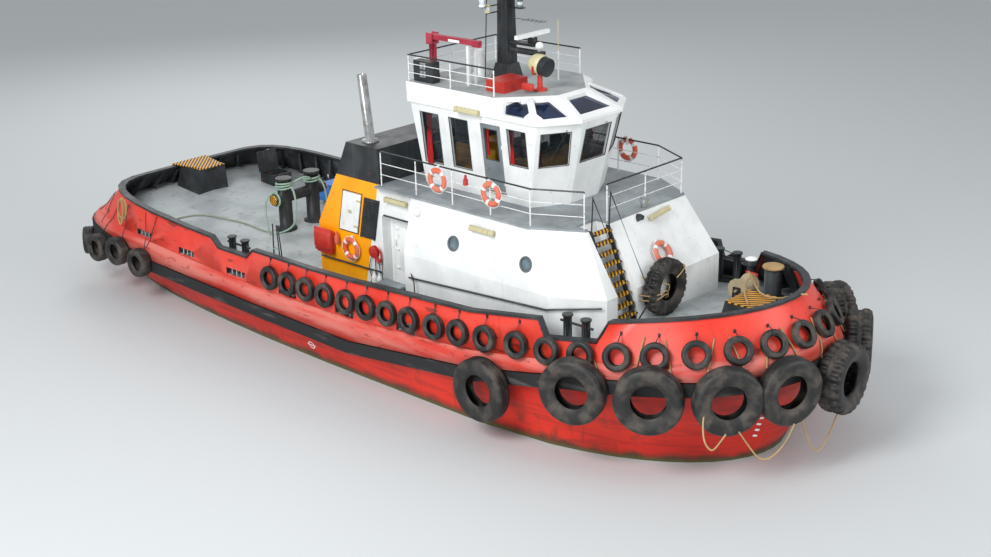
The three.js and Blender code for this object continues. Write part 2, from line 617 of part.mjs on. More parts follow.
// Window glass, a band inside the walls, parted at the doors
const glassBand = storeyWall(bridge, 6400, 8120, BRIDGE_WALL + GAP, BRIDGE_WALL + GAP + 12);
const aftOfDoors = block(0, SIDE_DOOR.x0 - 60, -3000, 3000, 6000, 8300);
const foreOfDoors = block(SIDE_DOOR.x1 + 60, 8000, -3000, 3000, 6900, 8300);
add('glazing_aft', glassBand.intersect(aftOfDoors), materials.glass);
add('glazing_fore', glassBand.intersect(foreOfDoors), materials.glass);

// Wheelhouse roof: a hollow lid, its deck falling to the eaves in slopes that hold the skylights
const ROOF = { lip: 90, frontX: 5650, frontHalf: 620, shoulder: 4420, side: 1950, aft: 900 };
const eavePlan = plan(980, 2000, 6040, 6780, 900);
const roofFoot = EAVE_Z + GAP;
const slopeFoot = EAVE_Z + ROOF.lip;
const roofPoints = (d, drop) => [
  ...outlineOf(inset(eavePlan, d)).map(([x, y]) => [x, y, slopeFoot]),
  ...[-1, 1].flatMap((side) => [
    [ROOF.aft + d, side * (ROOF.side - d), ROOF_Z - drop],
    [ROOF.shoulder - d / 2, side * (ROOF.side - d), ROOF_Z - drop],
    [ROOF.frontX - d, side * (ROOF.frontHalf - d / 3), ROOF_Z - drop],
  ]),
];
const roofSolid = slab(outlineOf(eavePlan), roofFoot, slopeFoot).add(convex(roofPoints(0, 0)));
const roofInner = convex(roofPoints(110, 70));
const roofHollow = slab(outlineOf(inset(eavePlan, 110)), roofFoot - 10, slopeFoot).add(roofInner);
const overRoof = ROOF_Z + 600;
const skylightFront = slab([[5820, -430], [6560, -700], [6560, 700], [5820, 430]], slopeFoot - 80, overRoof);
const skylightChamfer = slab(
  [[5050, 1560], [5560, 900], [6440, 1060], [6060, 1690]], slopeFoot + 20, overRoof,
);
const skylightSide = slab(
  [[4900, 1500], [5560, 1500], [5660, 2400], [4700, 2400]], slopeFoot + 70, ROOF_Z - 90,
);
add('wheelhouse_roof', cut(
  roofSolid, roofHollow, skylightFront, both(skylightChamfer.add(skylightSide)),
), materials.white);
const roofInside = (shrinking) => {
  const centre = [3500, 0, EAVE_Z];
  return roofInner.translate(centre.map((v) => -v)).scale(1 - shrinking).translate(centre);
};
add('skylight_glass', cut(roofInside(0.0004), roofInside(0.009))
  .intersect(block(4560, 7000, -3000, 3000, slopeFoot + 5, overRoof)), materials.glass);

// Tyres hung as fenders. A tyre's profile about its own axis: [radius, half width] as shares.
const TYRE = {
  small: { radius: 385, width: 210, bead: 0.56, segments: 7 },
  large: { radius: 920, width: 500, bead: 0.5, segments: 10 },
  lugged: { radius: 960, width: 720, bead: 0.5, segments: 11 },
  stern: { radius: 500, width: 420, bead: 0.52, segments: 8 },
};
function tyre({ radius, width, bead, segments }) {
  const inner = radius * bead;
  const half = width / 2;
  const rounded = radius > 600 ? [[radius * 0.9, half], [radius * 0.9, -half]] : [];
  const profile = [[inner, -half * 0.75], [inner, half * 0.75], ...rounded.slice(0, 1)];
  if (rounded.length) profile.push([radius, half * 0.6], [radius, -half * 0.6], ...rounded.slice(1));
  else profile.push([radius, half * 0.8], [radius, -half * 0.8]);
  profile.push([inner, -half * 0.75]);
  return turned(profile, segments, Math.PI / 2);
}

// Where each tyre hangs: x, y, z of its centre, the way it faces, its lean back
const smallTyres = [
  [-2970, 4540.6, 2511, 90, 5], [-2090, 4540.1, 2530, 90, 5], [-1230, 4539.5, 2549, 90, 5],
  [-340, 4539.9, 2569, 90, 5], [610, 4540, 2590, 90, 5], [1500, 4541, 2631, 90, 5],
  [2410, 4541.7, 2672, 90, 5], [3330, 4542.7, 2714, 90, 5], [4350, 4543.1, 2760, 90, 5],
  [5300, 4541.4, 2833, 90, 5], [6300, 4517.7, 2910, 90, 5], [7403.5, 4449.1, 3000, 88, 6],
  [8432.3, 4366.6, 3080, 84, 8], [9452.3, 4196.8, 3180, 77, 10], [10440.8, 3906.4, 3300, 69, 13],
  [11370.4, 3521.9, 3430, 60, 17], [12280.9, 2979.8, 3560, 50, 22],
  [13063.4, 2259.1, 3660, 40, 27], [13593.7, 1454.2, 3730, 27, 31], [13859.9, 488, 3770, 9, 33],
];
const sideTyre = [6500, 4888.8, 1580, 90, 0];
const bowStarboard = [
  [9556.1, -4610.5, 2330, -73, 0], [11577.7, -4024.4, 2450, -58, 0],
  [13251.1, -2946.2, 2560, -39, 0], [14125.6, -1494.2, 2600, -21, 0],
];
const bowLugged = [
  [14488.4, 521.1, 2400, 4, 0], [13808.8, 2443.7, 2560, 30, 0], [12277.5, 3782.1, 2620, 53, 0],
];
const bowPort = [[10464.9, 4379.6, 2430, 69, 0], [8393.1, 4742.1, 2250, 85, 0]];
const sternTyres = [
  [-9800, 4800.5, 1560, 90, 0], [-11150, 4771.1, 1680, 90, 0], [-12506.2, 4678, 1500, 92, 0],
  [-13672.4, 4284.7, 1420, 128, 0],
];
const placeTyre = (kind, [x, y, z, angle, lean]) => (
  tyre(kind).rotate([0, 90 - lean, 0]).rotate([0, 0, angle]).translate([x, y, z])
);
// A short length of the lashing line, from one tyre to the next
function link([kind, from], [nextKind, to], radius) {
  const run = Math.hypot(to[0] - from[0], to[1] - from[1]);
  const [ux, uy] = [(to[0] - from[0]) / run, (to[1] - from[1]) / run];
  const end = (one, [x, y, z, angle], way) => [
    x + ux * one.radius * way * 0.74 + Math.cos(angle * DEGREE) * one.width * 0.2,
    y + uy * one.radius * way * 0.74 + Math.sin(angle * DEGREE) * one.width * 0.2,
    z + one.radius * 0.42,
  ];
  return bar([end(kind, from, 1), end(nextKind, to, -1)], radius, 3);
}
const tyreRow = (row, rope) => union(
  ...row.map(([kind, at]) => placeTyre(kind, at)),
  ...row.slice(1).map((to, i) => link(row[i], to, rope)),
);
const rowOf = (kind, places) => places.map((at) => [kind, at]);
const opposite = ([x, y, z, angle, lean]) => [x, -y, z, -angle, lean];
const roundTheBow = [...smallTyres, ...[...smallTyres].reverse().map(opposite)];
add('small_tyres', tyreRow(rowOf(TYRE.small, roundTheBow), 24), materials.rubber);
add('bow_tyres', tyreRow([
  ...rowOf(TYRE.large, bowStarboard), ...rowOf(TYRE.lugged, bowLugged), ...rowOf(TYRE.large, bowPort),
], 34), materials.rubber);
add('side_tyre_port', placeTyre(TYRE.large, sideTyre), materials.rubber);
add('side_tyre_starboard', mirrorY(placeTyre(TYRE.large, sideTyre)), materials.rubber);
const sternRow = tyreRow(rowOf(TYRE.stern, sternTyres), 26);
add('stern_tyres_port', sternRow, materials.rubber);
add('stern_tyres_starboard', mirrorY(sternRow), materials.rubber);

// Spare tyre lashed upright to the front of the house
const SPARE = { radius: 790, width: 430, bead: 0.5, segments: 10, y: -300, z: 3940 };
add('spare_tyre', tyre(SPARE).rotate([0, 90, 0])
  .translate([houseFoot.front + GAP + SPARE.width / 2, SPARE.y, SPARE.z]), materials.rubber);

// Guard rails: a top rail, two lower rails and stanchions
function guardRail(path, z, height, topRadius) {
  const lift = (h) => path.map(([x, y]) => [x, y, z + h]);
  const stanchions = [];
  path.forEach(([x, y], i) => {
    stanchions.push([x, y]);
    if (i === path.length - 1) return;
    const [nx, ny] = path[i + 1];
    const bays = Math.max(1, Math.round(Math.hypot(nx - x, ny - y) / 1650));
    for (let k = 1; k < bays; k += 1) {
      stanchions.push([x + ((nx - x) * k) / bays, y + ((ny - y) * k) / bays]);
    }
  });
  return union(
    bar(lift(height), topRadius, 6), bar(lift(height * 0.66), 13, 4), bar(lift(height * 0.33), 13, 4),
    ...stanchions.map(([x, y]) => post(x, y, z + GAP, z + height, 21, 6)),
  );
}
const railSide = 2870;
const railFront = 7930;
add('boat_deck_rail_starboard', guardRail(
  [[560, -2800], [6580, -railSide], [railFront, -2190]], BOAT_DECK_Z, GUARD_RAIL_HEIGHT, RAIL_PIPE,
), materials.white);
add('boat_deck_rail_port', guardRail(
  [[railFront, -1220], [railFront, 2190], [6580, railSide], [560, 2800]],
  BOAT_DECK_Z, GUARD_RAIL_HEIGHT, RAIL_PIPE,
), materials.white);
const ROOF_RAIL = 780;
add('roof_rail', guardRail(
  [[4380, -1870], [960, -1870], [960, 1870], [4380, 1870]], ROOF_Z, ROOF_RAIL, RAIL_PIPE,
), materials.white);

// Front stairs: two stringers, treads and handrails in one weldment
const stairLine = { top: [7980, BOAT_DECK_Z - 5], foot: [9150, 2990] };
const stairAt = (share) => [
  stairLine.top[0] + (stairLine.foot[0] - stairLine.top[0]) * share,
  stairLine.top[1] + (stairLine.foot[1] - stairLine.top[1]) * share,
];
const TREADS = 10;
const stringer = (y) => across([
  [stairAt(0.02)[0] - 20, stairAt(0.02)[1]], [stairAt(0.02)[0] + 110, stairAt(0.02)[1]],
  [stairAt(1)[0] + 110, 2700], [stairAt(1)[0] - 60, 2700],
], y, y + 40);
const treads = Array.from({ length: TREADS }, (_, i) => {
  const [x, z] = stairAt((i + 0.6) / (TREADS + 0.2));
  return block(x - 60, x + 170, STAIR.y0 + 60, STAIR.y1 - 60, z - 20, z + 20);
});
const handrail = (y) => bar([
  [stairAt(0.05)[0] + 50, y, stairAt(0.05)[1] - 40], [stairAt(0)[0] + 160, y, stairAt(0)[1] + 900],
  [stairAt(0.93)[0] + 520, y, stairAt(0.93)[1] + 780], [stairAt(0.93)[0] + 60, y, stairAt(0.93)[1]],
], 22, 8);
add('front_stairs', onDeck(union(
  stringer(STAIR.y0 + 30), stringer(STAIR.y1 - 70), ...treads,
  handrail(STAIR.y0 + 50), handrail(STAIR.y1 - 50),
)), materials.black);

// Towing bitt: two capped posts and a beam through them
const BITT = { x: -6850, half: 620, radius: 240, top: 4180, beamZ: 3480, beamHalf: 1120, beamRadius: 190 };
const bittPost = union(
  post(BITT.x, BITT.half, deckFloor, BITT.top, BITT.radius, 16),
  post(BITT.x, BITT.half, BITT.top - 90, BITT.top, BITT.radius + 50, 16),
  post(BITT.x, BITT.half, deckFloor, deckHeight(BITT.x, 0) + 40, BITT.radius + 120, 16),
);
const beam = post(0, 0, -BITT.beamHalf, BITT.beamHalf, BITT.beamRadius, 16)
  .rotate([90, 0, 0]).translate([BITT.x, 0, BITT.beamZ]);
add('towing_bitt', onDeck(union(both(bittPost), beam)), materials.black);

// Double bitts in the rope dips: two posts on a base with a cross bar
function doubleBitt(x, y, spacing, top) {
  const one = (px) => union(
    post(px, y, deckFloor, top, 120, 12), post(px, y, top - 50, top, 155, 12),
  );
  return onDeck(union(
    one(x - spacing / 2), one(x + spacing / 2),
    bar([[x - spacing / 2 - 240, y, top - 230], [x + spacing / 2 + 240, y, top - 230]], 35, 8),
    block(x - spacing / 2 - 200, x + spacing / 2 + 200, y - 170, y + 170, deckFloor, deckHeight(x, y) + 60),
  ));
}
const aftBitt = doubleBitt(-5210, 3940, 670, 3210);
const foreBitt = doubleBitt(8760, 3500, 640, 3880);
[['aft', aftBitt], ['fore', foreBitt]].forEach(([place, solid]) => {
  add(`${place}_bitt_port`, solid, materials.black);
  add(`${place}_bitt_starboard`, mirrorY(solid), materials.black);
});

// Raised platforms at the stern and the bow: a tapering trunk under a grating
const rectangle = ([x0, x1, y]) => [[x0, -y], [x1, -y], [x1, y], [x0, y]];
const frustum = (foot, z0, top, z1) => stack(rectangle(foot), z0, rectangle(top), z1);
const aftGrating = [[-13220, -760], [-11700, -440], [-11700, 440], [-13220, 760]];
add('aft_platform', onDeck(union(
  frustum([-13450, -11850, 800], deckFloor, [-12940, -11760, 560], 3560), slab(aftGrating, 3550, 3590),
)), materials.black);
add('fore_platform', onDeck(
  frustum([10900, 12750, 900], deckFloor, [11450, 12450, 560], 4120),
), materials.black);

// Hatch on the aft deck with its lid standing open, leaning back on its stay
const MANHOLE = { x0: -11620, x1: -10880, y0: 2080, y1: 2980, top: 2880, wall: 40 };
const coaming = cut(
  block(MANHOLE.x0, MANHOLE.x1, MANHOLE.y0, MANHOLE.y1, deckFloor, MANHOLE.top),
  block(
    MANHOLE.x0 + MANHOLE.wall, MANHOLE.x1 - MANHOLE.wall,
    MANHOLE.y0 + MANHOLE.wall, MANHOLE.y1 - MANHOLE.wall,
    2600, MANHOLE.top + 10,
  ),
);
const LID = {
  hingeX: MANHOLE.x0 - 15, hingeZ: MANHOLE.top + 8, length: 775, thick: 35, back: 10, barrel: 14,
};
const lidLug = (y) => block(
  LID.hingeX - 25, MANHOLE.x0 + 10, y, y + 60, MANHOLE.top - 120, LID.hingeZ - LID.barrel - GAP,
);
add('deck_hatch', onDeck(union(
  coaming, lidLug(MANHOLE.y0 + 100), lidLug(MANHOLE.y1 - 160),
)), materials.black);
add('hatch_lid', union(
  block(-LID.thick, 0, MANHOLE.y0 - 15, MANHOLE.y1 + 15, 0, LID.length),
  bar([[0, MANHOLE.y0 + 60, 0], [0, MANHOLE.y1 - 60, 0]], LID.barrel, 8),
).rotate([0, -LID.back, 0]).translate([LID.hingeX, 0, LID.hingeZ]), materials.black);

// Windlass on the foredeck: frame and turning drum, and the bollard beside it
const WINDLASS = { x: 10500, y: 1750, z: 3620, half: 330, drum: 270, flange: 330, shaft: 40, foot: 330 };
const cheek = (y) => across([
  [WINDLASS.x - WINDLASS.foot, deckFloor], [WINDLASS.x + WINDLASS.foot, deckFloor],
  [WINDLASS.x + 110, WINDLASS.z + 90], [WINDLASS.x - 110, WINDLASS.z + 90],
], y, y + 50);
const onShaft = (solid) => solid.rotate([90, 0, 0]).translate([WINDLASS.x, WINDLASS.y, WINDLASS.z]);
const cheekOut = WINDLASS.half + 60;
const windlassBase = block(
  WINDLASS.x - WINDLASS.foot, WINDLASS.x + WINDLASS.foot, WINDLASS.y - cheekOut, WINDLASS.y + cheekOut,
  deckFloor, deckHeight(WINDLASS.x, WINDLASS.y) + 50,
);
const windlassFrame = cut(
  union(cheek(WINDLASS.y - cheekOut), cheek(WINDLASS.y + cheekOut - 50), windlassBase),
  onShaft(post(0, 0, -2000, 2000, WINDLASS.shaft + 0.9, 16)),
);
add('windlass_frame', onDeck(windlassFrame), materials.black);
// Half of the drum's profile, [radius, distance from its middle], repeated on the other side
const drumEnd = [
  [0, WINDLASS.half + 120], [WINDLASS.shaft, WINDLASS.half + 120], [WINDLASS.shaft, WINDLASS.half - 6],
  [WINDLASS.flange, WINDLASS.half - 6], [WINDLASS.flange, WINDLASS.half - 40],
  [WINDLASS.drum, WINDLASS.half - 60],
];
const drumProfile = [...drumEnd.map(([r, z]) => [r, -z]), ...[...drumEnd].reverse()];
add('windlass_drum', onShaft(turned(drumProfile, 16)), materials.rope);
const BOLLARD = { x: 11000, y: 2450, top: 4120, radius: 250 };
add('fore_bollard', onDeck(union(
  post(BOLLARD.x, BOLLARD.y, deckFloor, BOLLARD.top, BOLLARD.radius, 16),
  post(BOLLARD.x, BOLLARD.y, deckFloor, deckHeight(BOLLARD.x, BOLLARD.y) + 50, BOLLARD.radius + 90, 16),
)), materials.black);

// Wheelhouse inside: console and chair
const consolePlan = [[4900, -1150], [5300, -900], [5300, 900], [4900, 1150], [4350, 1150], [4350, -1150]];
add('console', cut(
  slab(consolePlan, bridgeFoot, 6900), block(4300, 4950, -500, 500, bridgeFoot - 10, 6950),
), materials.grey);
add('helm_chair', union(
  post(3700, 0, bridgeFoot, bridgeFoot + 40, 250, 16), post(3700, 0, bridgeFoot, 6400, 60, 10),
  block(3450, 3950, -260, 260, 6400, 6520), block(3400, 3500, -240, 240, 6500, 7150),
), materials.black);

// Mast on the roof with its forward arm
const roofTop = ROOF_Z + GAP;
const MAST = { top: 12600, armZ: 9740, armX: 4600 };
add('mast', union(
  frustum([2780, 3580, 300], roofTop, [2920, 3440, 230], roofTop + 520),
  frustum([2960, 3400, 200], roofTop + 500, [3000, 3340, 150], MAST.top),
  block(3200, MAST.armX, -90, 90, MAST.armZ, MAST.armZ + 140),
  block(3300, 4320, -130, 130, 10000, 10080),
  block(4080, 4280, -100, 100, 10070, 10250),
  block(3280, 3420, -900, 900, 11500, 11580),
), materials.black);
const RADAR = { x: 4180, seatZ: 10250 + GAP };
add('radar_scanner', union(
  block(RADAR.x - 60, RADAR.x + 60, -700, 700, RADAR.seatZ + 30, RADAR.seatZ + 140),
  post(RADAR.x, 0, RADAR.seatZ, RADAR.seatZ + 35, 60, 12),
), materials.white);
const domeBall = geometryToSolid(new THREE.SphereGeometry(120, 16, 10));
add('dome_aerial', union(
  post(4450, 0, MAST.armZ + 140 + GAP, MAST.armZ + 200, 60, 12),
  domeBall.translate([4450, 0, MAST.armZ + 290]),
), materials.white);

// Deck crane on the roof: slewing column, lifting boom, and the rest it lies on
const CRANE = { x: 1250, y: -1130, pivotZ: 10120, tipX: 3180, restX: 2840 };
const craneEar = (y) => block(
  CRANE.x - 130, CRANE.x + 110, CRANE.y + y, CRANE.y + y + 55, CRANE.pivotZ - 180, CRANE.pivotZ + 110,
);
add('crane_column', union(
  post(CRANE.x, CRANE.y, roofTop, roofTop + 120, 190, 16),
  post(CRANE.x, CRANE.y, roofTop + 100, CRANE.pivotZ - 120, 115, 12),
  craneEar(-150), craneEar(95),
  block(CRANE.x - 130, CRANE.x + 110, CRANE.y - 150, CRANE.y + 150, CRANE.pivotZ - 220, CRANE.pivotZ - 150),
), materials.crimson);
add('crane_boom', union(
  block(CRANE.x - 60, CRANE.tipX, CRANE.y - 75, CRANE.y + 75, CRANE.pivotZ - 75, CRANE.pivotZ + 75),
  block(CRANE.tipX - 260, CRANE.tipX, CRANE.y - 60, CRANE.y + 60, CRANE.pivotZ - 115, CRANE.pivotZ - 60),
  post(0, 0, -94.7, 94.7, 30, 12).rotate([90, 0, 0]).translate([CRANE.x, CRANE.y, CRANE.pivotZ]),
), materials.crimson);
const restPart = (y0, y1, z0, z1) => block(
  CRANE.restX - 45, CRANE.restX + 45, CRANE.y + y0, CRANE.y + y1, z0, z1,
);
add('crane_rest', union(
  restPart(-190, -110, roofTop, CRANE.pivotZ - 150), restPart(110, 190, roofTop, CRANE.pivotZ - 150),
  restPart(-190, 190, CRANE.pivotZ - 160, CRANE.pivotZ - 83),
), materials.white);

// Lockers and lights on the roof
add('roof_locker', block(3650, 4350, -1420, -420, roofTop, ROOF_Z + 330), materials.hullRed);
add('floodlight_box', block(1050, 1850, -1760, -1480, roofTop, ROOF_Z + 620), materials.black);

// Mooring rope lying slack on the aft deck, its route as [x, y]
const ROPE_RADIUS = 32;
const ropeWay = [
  [-10430, -3040], [-10500, -2720], [-10450, -2380], [-10330, -2060], [-10090, -1790], [-9770, -1620],
  [-9420, -1520], [-9060, -1440], [-8700, -1360], [-8340, -1300], [-7980, -1290], [-7620, -1320],
  [-7290, -1310], [-6980, -1250],
];
const ropeFlat = ROPE_RADIUS * Math.cos(Math.PI / 8); // from its middle to the flat it lies on
const ropePoints = ropeWay.map(([x, y]) => [x, y, deckHeight(x, y) + ropeFlat + 0.9]);
add('deck_rope', bar(ropePoints, ROPE_RADIUS, 8), materials.rope);

export default tug;
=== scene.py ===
import json
import math

import bpy
from mathutils import Matrix, Vector

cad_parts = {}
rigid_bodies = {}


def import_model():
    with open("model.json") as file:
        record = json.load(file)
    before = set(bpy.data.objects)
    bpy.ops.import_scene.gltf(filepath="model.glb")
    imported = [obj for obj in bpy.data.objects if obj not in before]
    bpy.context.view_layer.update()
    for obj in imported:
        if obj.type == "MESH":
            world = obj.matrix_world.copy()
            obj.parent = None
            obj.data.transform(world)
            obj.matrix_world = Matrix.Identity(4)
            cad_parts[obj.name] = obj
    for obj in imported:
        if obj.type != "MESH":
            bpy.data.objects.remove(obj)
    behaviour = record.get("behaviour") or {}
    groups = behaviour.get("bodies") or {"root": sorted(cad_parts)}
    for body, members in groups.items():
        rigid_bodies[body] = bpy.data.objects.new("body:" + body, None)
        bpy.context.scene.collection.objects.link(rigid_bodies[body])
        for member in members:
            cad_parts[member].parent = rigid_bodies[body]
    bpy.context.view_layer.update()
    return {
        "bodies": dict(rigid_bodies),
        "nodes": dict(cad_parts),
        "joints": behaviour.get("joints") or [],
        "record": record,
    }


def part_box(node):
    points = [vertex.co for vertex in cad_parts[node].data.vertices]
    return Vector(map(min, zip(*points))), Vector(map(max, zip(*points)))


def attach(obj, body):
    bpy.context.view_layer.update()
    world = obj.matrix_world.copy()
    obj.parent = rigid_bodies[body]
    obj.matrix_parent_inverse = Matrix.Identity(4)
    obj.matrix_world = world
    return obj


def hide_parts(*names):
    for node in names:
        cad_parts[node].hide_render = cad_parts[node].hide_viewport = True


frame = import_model()
nodes = frame["nodes"]

# Camera, above the starboard bow and looking aft along the ship. It is rolled a degree, as a camera
# held by hand is.
bpy.ops.object.select_all(action="DESELECT")
bpy.ops.object.camera_add(
    location=(32.813, -32.036, 18.654),
    rotation=(math.radians(69.876), math.radians(1.211), math.radians(42.962)),
)
camera = bpy.context.object
camera.name = "camera"
camera.data.lens = 54.83
camera.data.sensor_width = 36.0
camera.data.clip_end = 500.0
bpy.context.scene.camera = camera


# Finishes are node trees. A Level is one number that varies over a surface, so that a sum of stains
# reads as a sum; every other node comes from Finish.node.
class Level:
    def __init__(self, finish, socket):
        self.finish = finish
        self.socket = socket

    def maths(self, operation, other, swap=False):
        pair = (other, self) if swap else (self, other)
        made = self.finish.node("ShaderNodeMath", {"operation": operation}, {0: pair[0], 1: pair[1]})
        return Level(self.finish, made.outputs[0])

    def __add__(self, other):
        return self.maths("ADD", other)

    def __radd__(self, other):
        return self.maths("ADD", other)

    def __sub__(self, other):
        return self.maths("SUBTRACT", other)

    def __rsub__(self, other):
        return self.maths("SUBTRACT", other, swap=True)

    def __mul__(self, other):
        return self.maths("MULTIPLY", other)

    def __rmul__(self, other):
        return self.maths("MULTIPLY", other)

    def between(self, low, high):
        """0 below low, 1 above high, and a smooth rise in between."""
        made = self.finish.node(
            "ShaderNodeMapRange", {"interpolation_type": "SMOOTHSTEP"},
            {"Value": self, "From Min": low, "From Max": high},
        )
        return Level(self.finish, made.outputs["Result"])


class Finish:
    def __init__(self, name, **fixed):
        self.material = bpy.data.materials.new(name)
        self.material.use_nodes = True
        self.tree = self.material.node_tree
        self.surface = self.tree.nodes["Principled BSDF"]
        for socket, value in fixed.items():
            self.set(socket.replace("_", " ").title(), value)
        self.place = self.node("ShaderNodeTexCoord").outputs["Object"]
        parts = self.node("ShaderNodeSeparateXYZ", {}, {0: self.place})
        self.x, self.y, self.z = [Level(self, socket) for socket in parts.outputs]

    def node(self, kind, settings=None, sockets=None):
        made = self.tree.nodes.new(kind)
        for key, value in (settings or {}).items():
            setattr(made, key, value)
        for key, value in (sockets or {}).items():
            self.join(made.inputs[key], value)
        return made

    def join(self, socket, value):
        if isinstance(value, Level):
            value = value.socket
        if isinstance(value, bpy.types.NodeSocket):
            self.tree.links.new(value, socket)
        else:
            socket.default_value = value

    def set(self, socket, value):
        self.join(self.surface.inputs[socket], value)

    def spots(self, size, stretch=(1, 1, 1), detail=4.0, shift=0.0):
        """Cloudy noise whose clouds are about size metres across, drawn out by stretch."""
        spread = [1 / (size * s) for s in stretch]
        mapped = self.node(
            "ShaderNodeMapping", {}, {0: self.place, "Scale": spread, "Location": (shift, shift, shift)},
        )
        made = self.node("ShaderNodeTexNoise", {},
                         {"Vector": mapped.outputs[0], "Scale": 1.0, "Detail": detail})
        return Level(self, made.outputs[0])

    def facing(self):
        """The way the surface faces, as three levels."""
        parts = self.node(
            "ShaderNodeSeparateXYZ", {}, {0: self.node("ShaderNodeNewGeometry").outputs["True Normal"]},
        )
        return [Level(self, socket) for socket in parts.outputs]

    def mix(self, share, under, over):
        made = self.node("ShaderNodeMix", {"data_type": "RGBA"}, {0: share, 6: under, 7: over})
        return made.outputs[2]

    def bump(self, height, strength=0.3, depth=0.01):
        made = self.node(
            "ShaderNodeBump", {}, {"Height": height, "Strength": strength, "Distance": depth},
        )
        self.set("Normal", made.outputs[0])


def tint(code):
    """A colour written as six hex digits, as the shader wants it."""
    parts = [int(code[i:i + 2], 16) / 255 for i in (0, 2, 4)]
    return [p / 12.92 if p <= 0.04045 else ((p + 0.055) / 1.055) ** 2.4 for p in parts] + [1.0]


# Studio: a pale plain floor at the waterline, a broad key light from the left and above, a soft fill from
# ahead, a light from behind, and a low one that reaches under the belt.
bpy.ops.object.select_all(action="DESELECT")
bpy.ops.mesh.primitive_plane_add(size=2.0, location=(0, 0, 0))
floor = bpy.context.object
floor.name = "floor"
floor.scale = (160, 160, 1)
pale = Finish("pale_floor", roughness=0.85)
pale.set("Base Color", pale.mix(pale.spots(6.0).between(0.2, 0.8), tint("c6cacb"), tint("cdd1d2")))
floor.data.materials.append(pale.material)

for name, place, size, power, aim in (
    ("key", (8, -38, 34), 18, 15500, (0, 0, 3)),
    ("fill", (42, 8, 20), 22, 5600, (2, 0, 3)),
    ("back", (-34, 20, 26), 20, 4200, (-4, 0, 4)),
    ("low", (26, -40, 7), 16, 4300, (4, 0, 1)),
):
    lamp = bpy.data.lights.new(name, "AREA")
    lamp.size = size
    lamp.energy = power
    made = bpy.data.objects.new(name, lamp)
    made.location = place
    made.rotation_euler = (Vector(aim) - Vector(place)).to_track_quat("-Z", "Y").to_euler()
    bpy.context.scene.collection.objects.link(made)
world = bpy.data.worlds.new("sky")
world.use_nodes = True
world.node_tree.nodes["Background"].inputs["Color"].default_value = (0.84, 0.87, 0.9, 1)
world.node_tree.nodes["Background"].inputs["Strength"].default_value = 0.6
bpy.context.scene.world = world
bpy.context.scene.view_settings.view_transform = "Standard"


# Mooring rope lying slack on the aft deck, three-strand fibre faded pale green, laid by hand.
rope = Finish("mooring_rope", roughness=0.9)
twist = rope.node(
    "ShaderNodeTexWave", {"wave_type": "BANDS", "bands_direction": "DIAGONAL"},
    {"Vector": rope.place, "Scale": 9.0, "Distortion": 1.5, "Detail": 2.0},
)
lay = Level(rope, twist.outputs["Fac"])
rope.set("Base Color", rope.mix(lay.between(0.1, 0.8), tint("6d7566"), tint("b9bfa9")))
rope.bump(lay, strength=0.8, depth=0.01)


def along(line, x):
    """Height of a line of (x, z) points at x."""
    for (x0, z0), (x1, z1) in zip(line, line[1:]):
        if x <= x1 or (x1, z1) == line[-1]:
            return z0 + (z1 - z0) * (x - x0) / (x1 - x0)


deck_line = [(-14.2, 2.62), (-9.5, 2.26), (-3.87, 2.01), (0.72, 2.04), (5.68, 2.4), (9.0, 2.88),
             (13.6, 3.4)]
rail_half = 4.41
camber = 0.05


def deck_height(x, y):
    return along(deck_line, x) + camber * (rail_half - abs(y))


def drawn(name, points, radius, sides=12, closed=False, smooth=True, material=None):
    """A round bar, pipe or rope that follows points."""
    curve = bpy.data.curves.new(name, "CURVE")
    curve.dimensions = "3D"
    curve.bevel_depth = radius
    curve.bevel_resolution = max(0, sides // 4 - 1)
    curve.resolution_u = 6 if smooth else 1
    curve.use_fill_caps = not closed
    spline = curve.splines.new("NURBS" if smooth else "POLY")
    spline.points.add(len(points) - 1)
    for point, place in zip(spline.points, points):
        point.co = (*place, 1.0)
    spline.use_cyclic_u = closed
    if smooth:
        spline.order_u = 3
        spline.use_endpoint_u = True
    made = bpy.data.objects.new(name, curve)
    bpy.context.scene.collection.objects.link(made)
    bpy.ops.object.select_all(action="DESELECT")
    made.select_set(True)
    bpy.context.view_layer.objects.active = made
    bpy.ops.object.convert(target="MESH")
    made = bpy.context.object
    made.name = name
    if sides > 6:
        bpy.ops.object.shade_smooth_by_angle(angle=math.radians(50))
    if material:
        made.data.materials.append(material)
    return made


rope_radius = 0.032
rope_way = [
    (-10.43, -3.04), (-10.5, -2.72), (-10.45, -2.38), (-10.33, -2.06), (-10.09, -1.79), (-9.77, -1.62),
    (-9.42, -1.52), (-9.06, -1.44), (-8.7, -1.36), (-8.34, -1.3), (-7.98, -1.29), (-7.62, -1.32),
    (-7.29, -1.31), (-6.98, -1.25),
]
rope_points = [Vector((x, y, deck_height(x, y) + rope_radius)) for x, y in rope_way]
slack_rope = drawn("slack_rope", rope_points, rope_radius, sides=16, smooth=False, material=rope.material)
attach(slack_rope, "hull")
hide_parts("deck_rope")


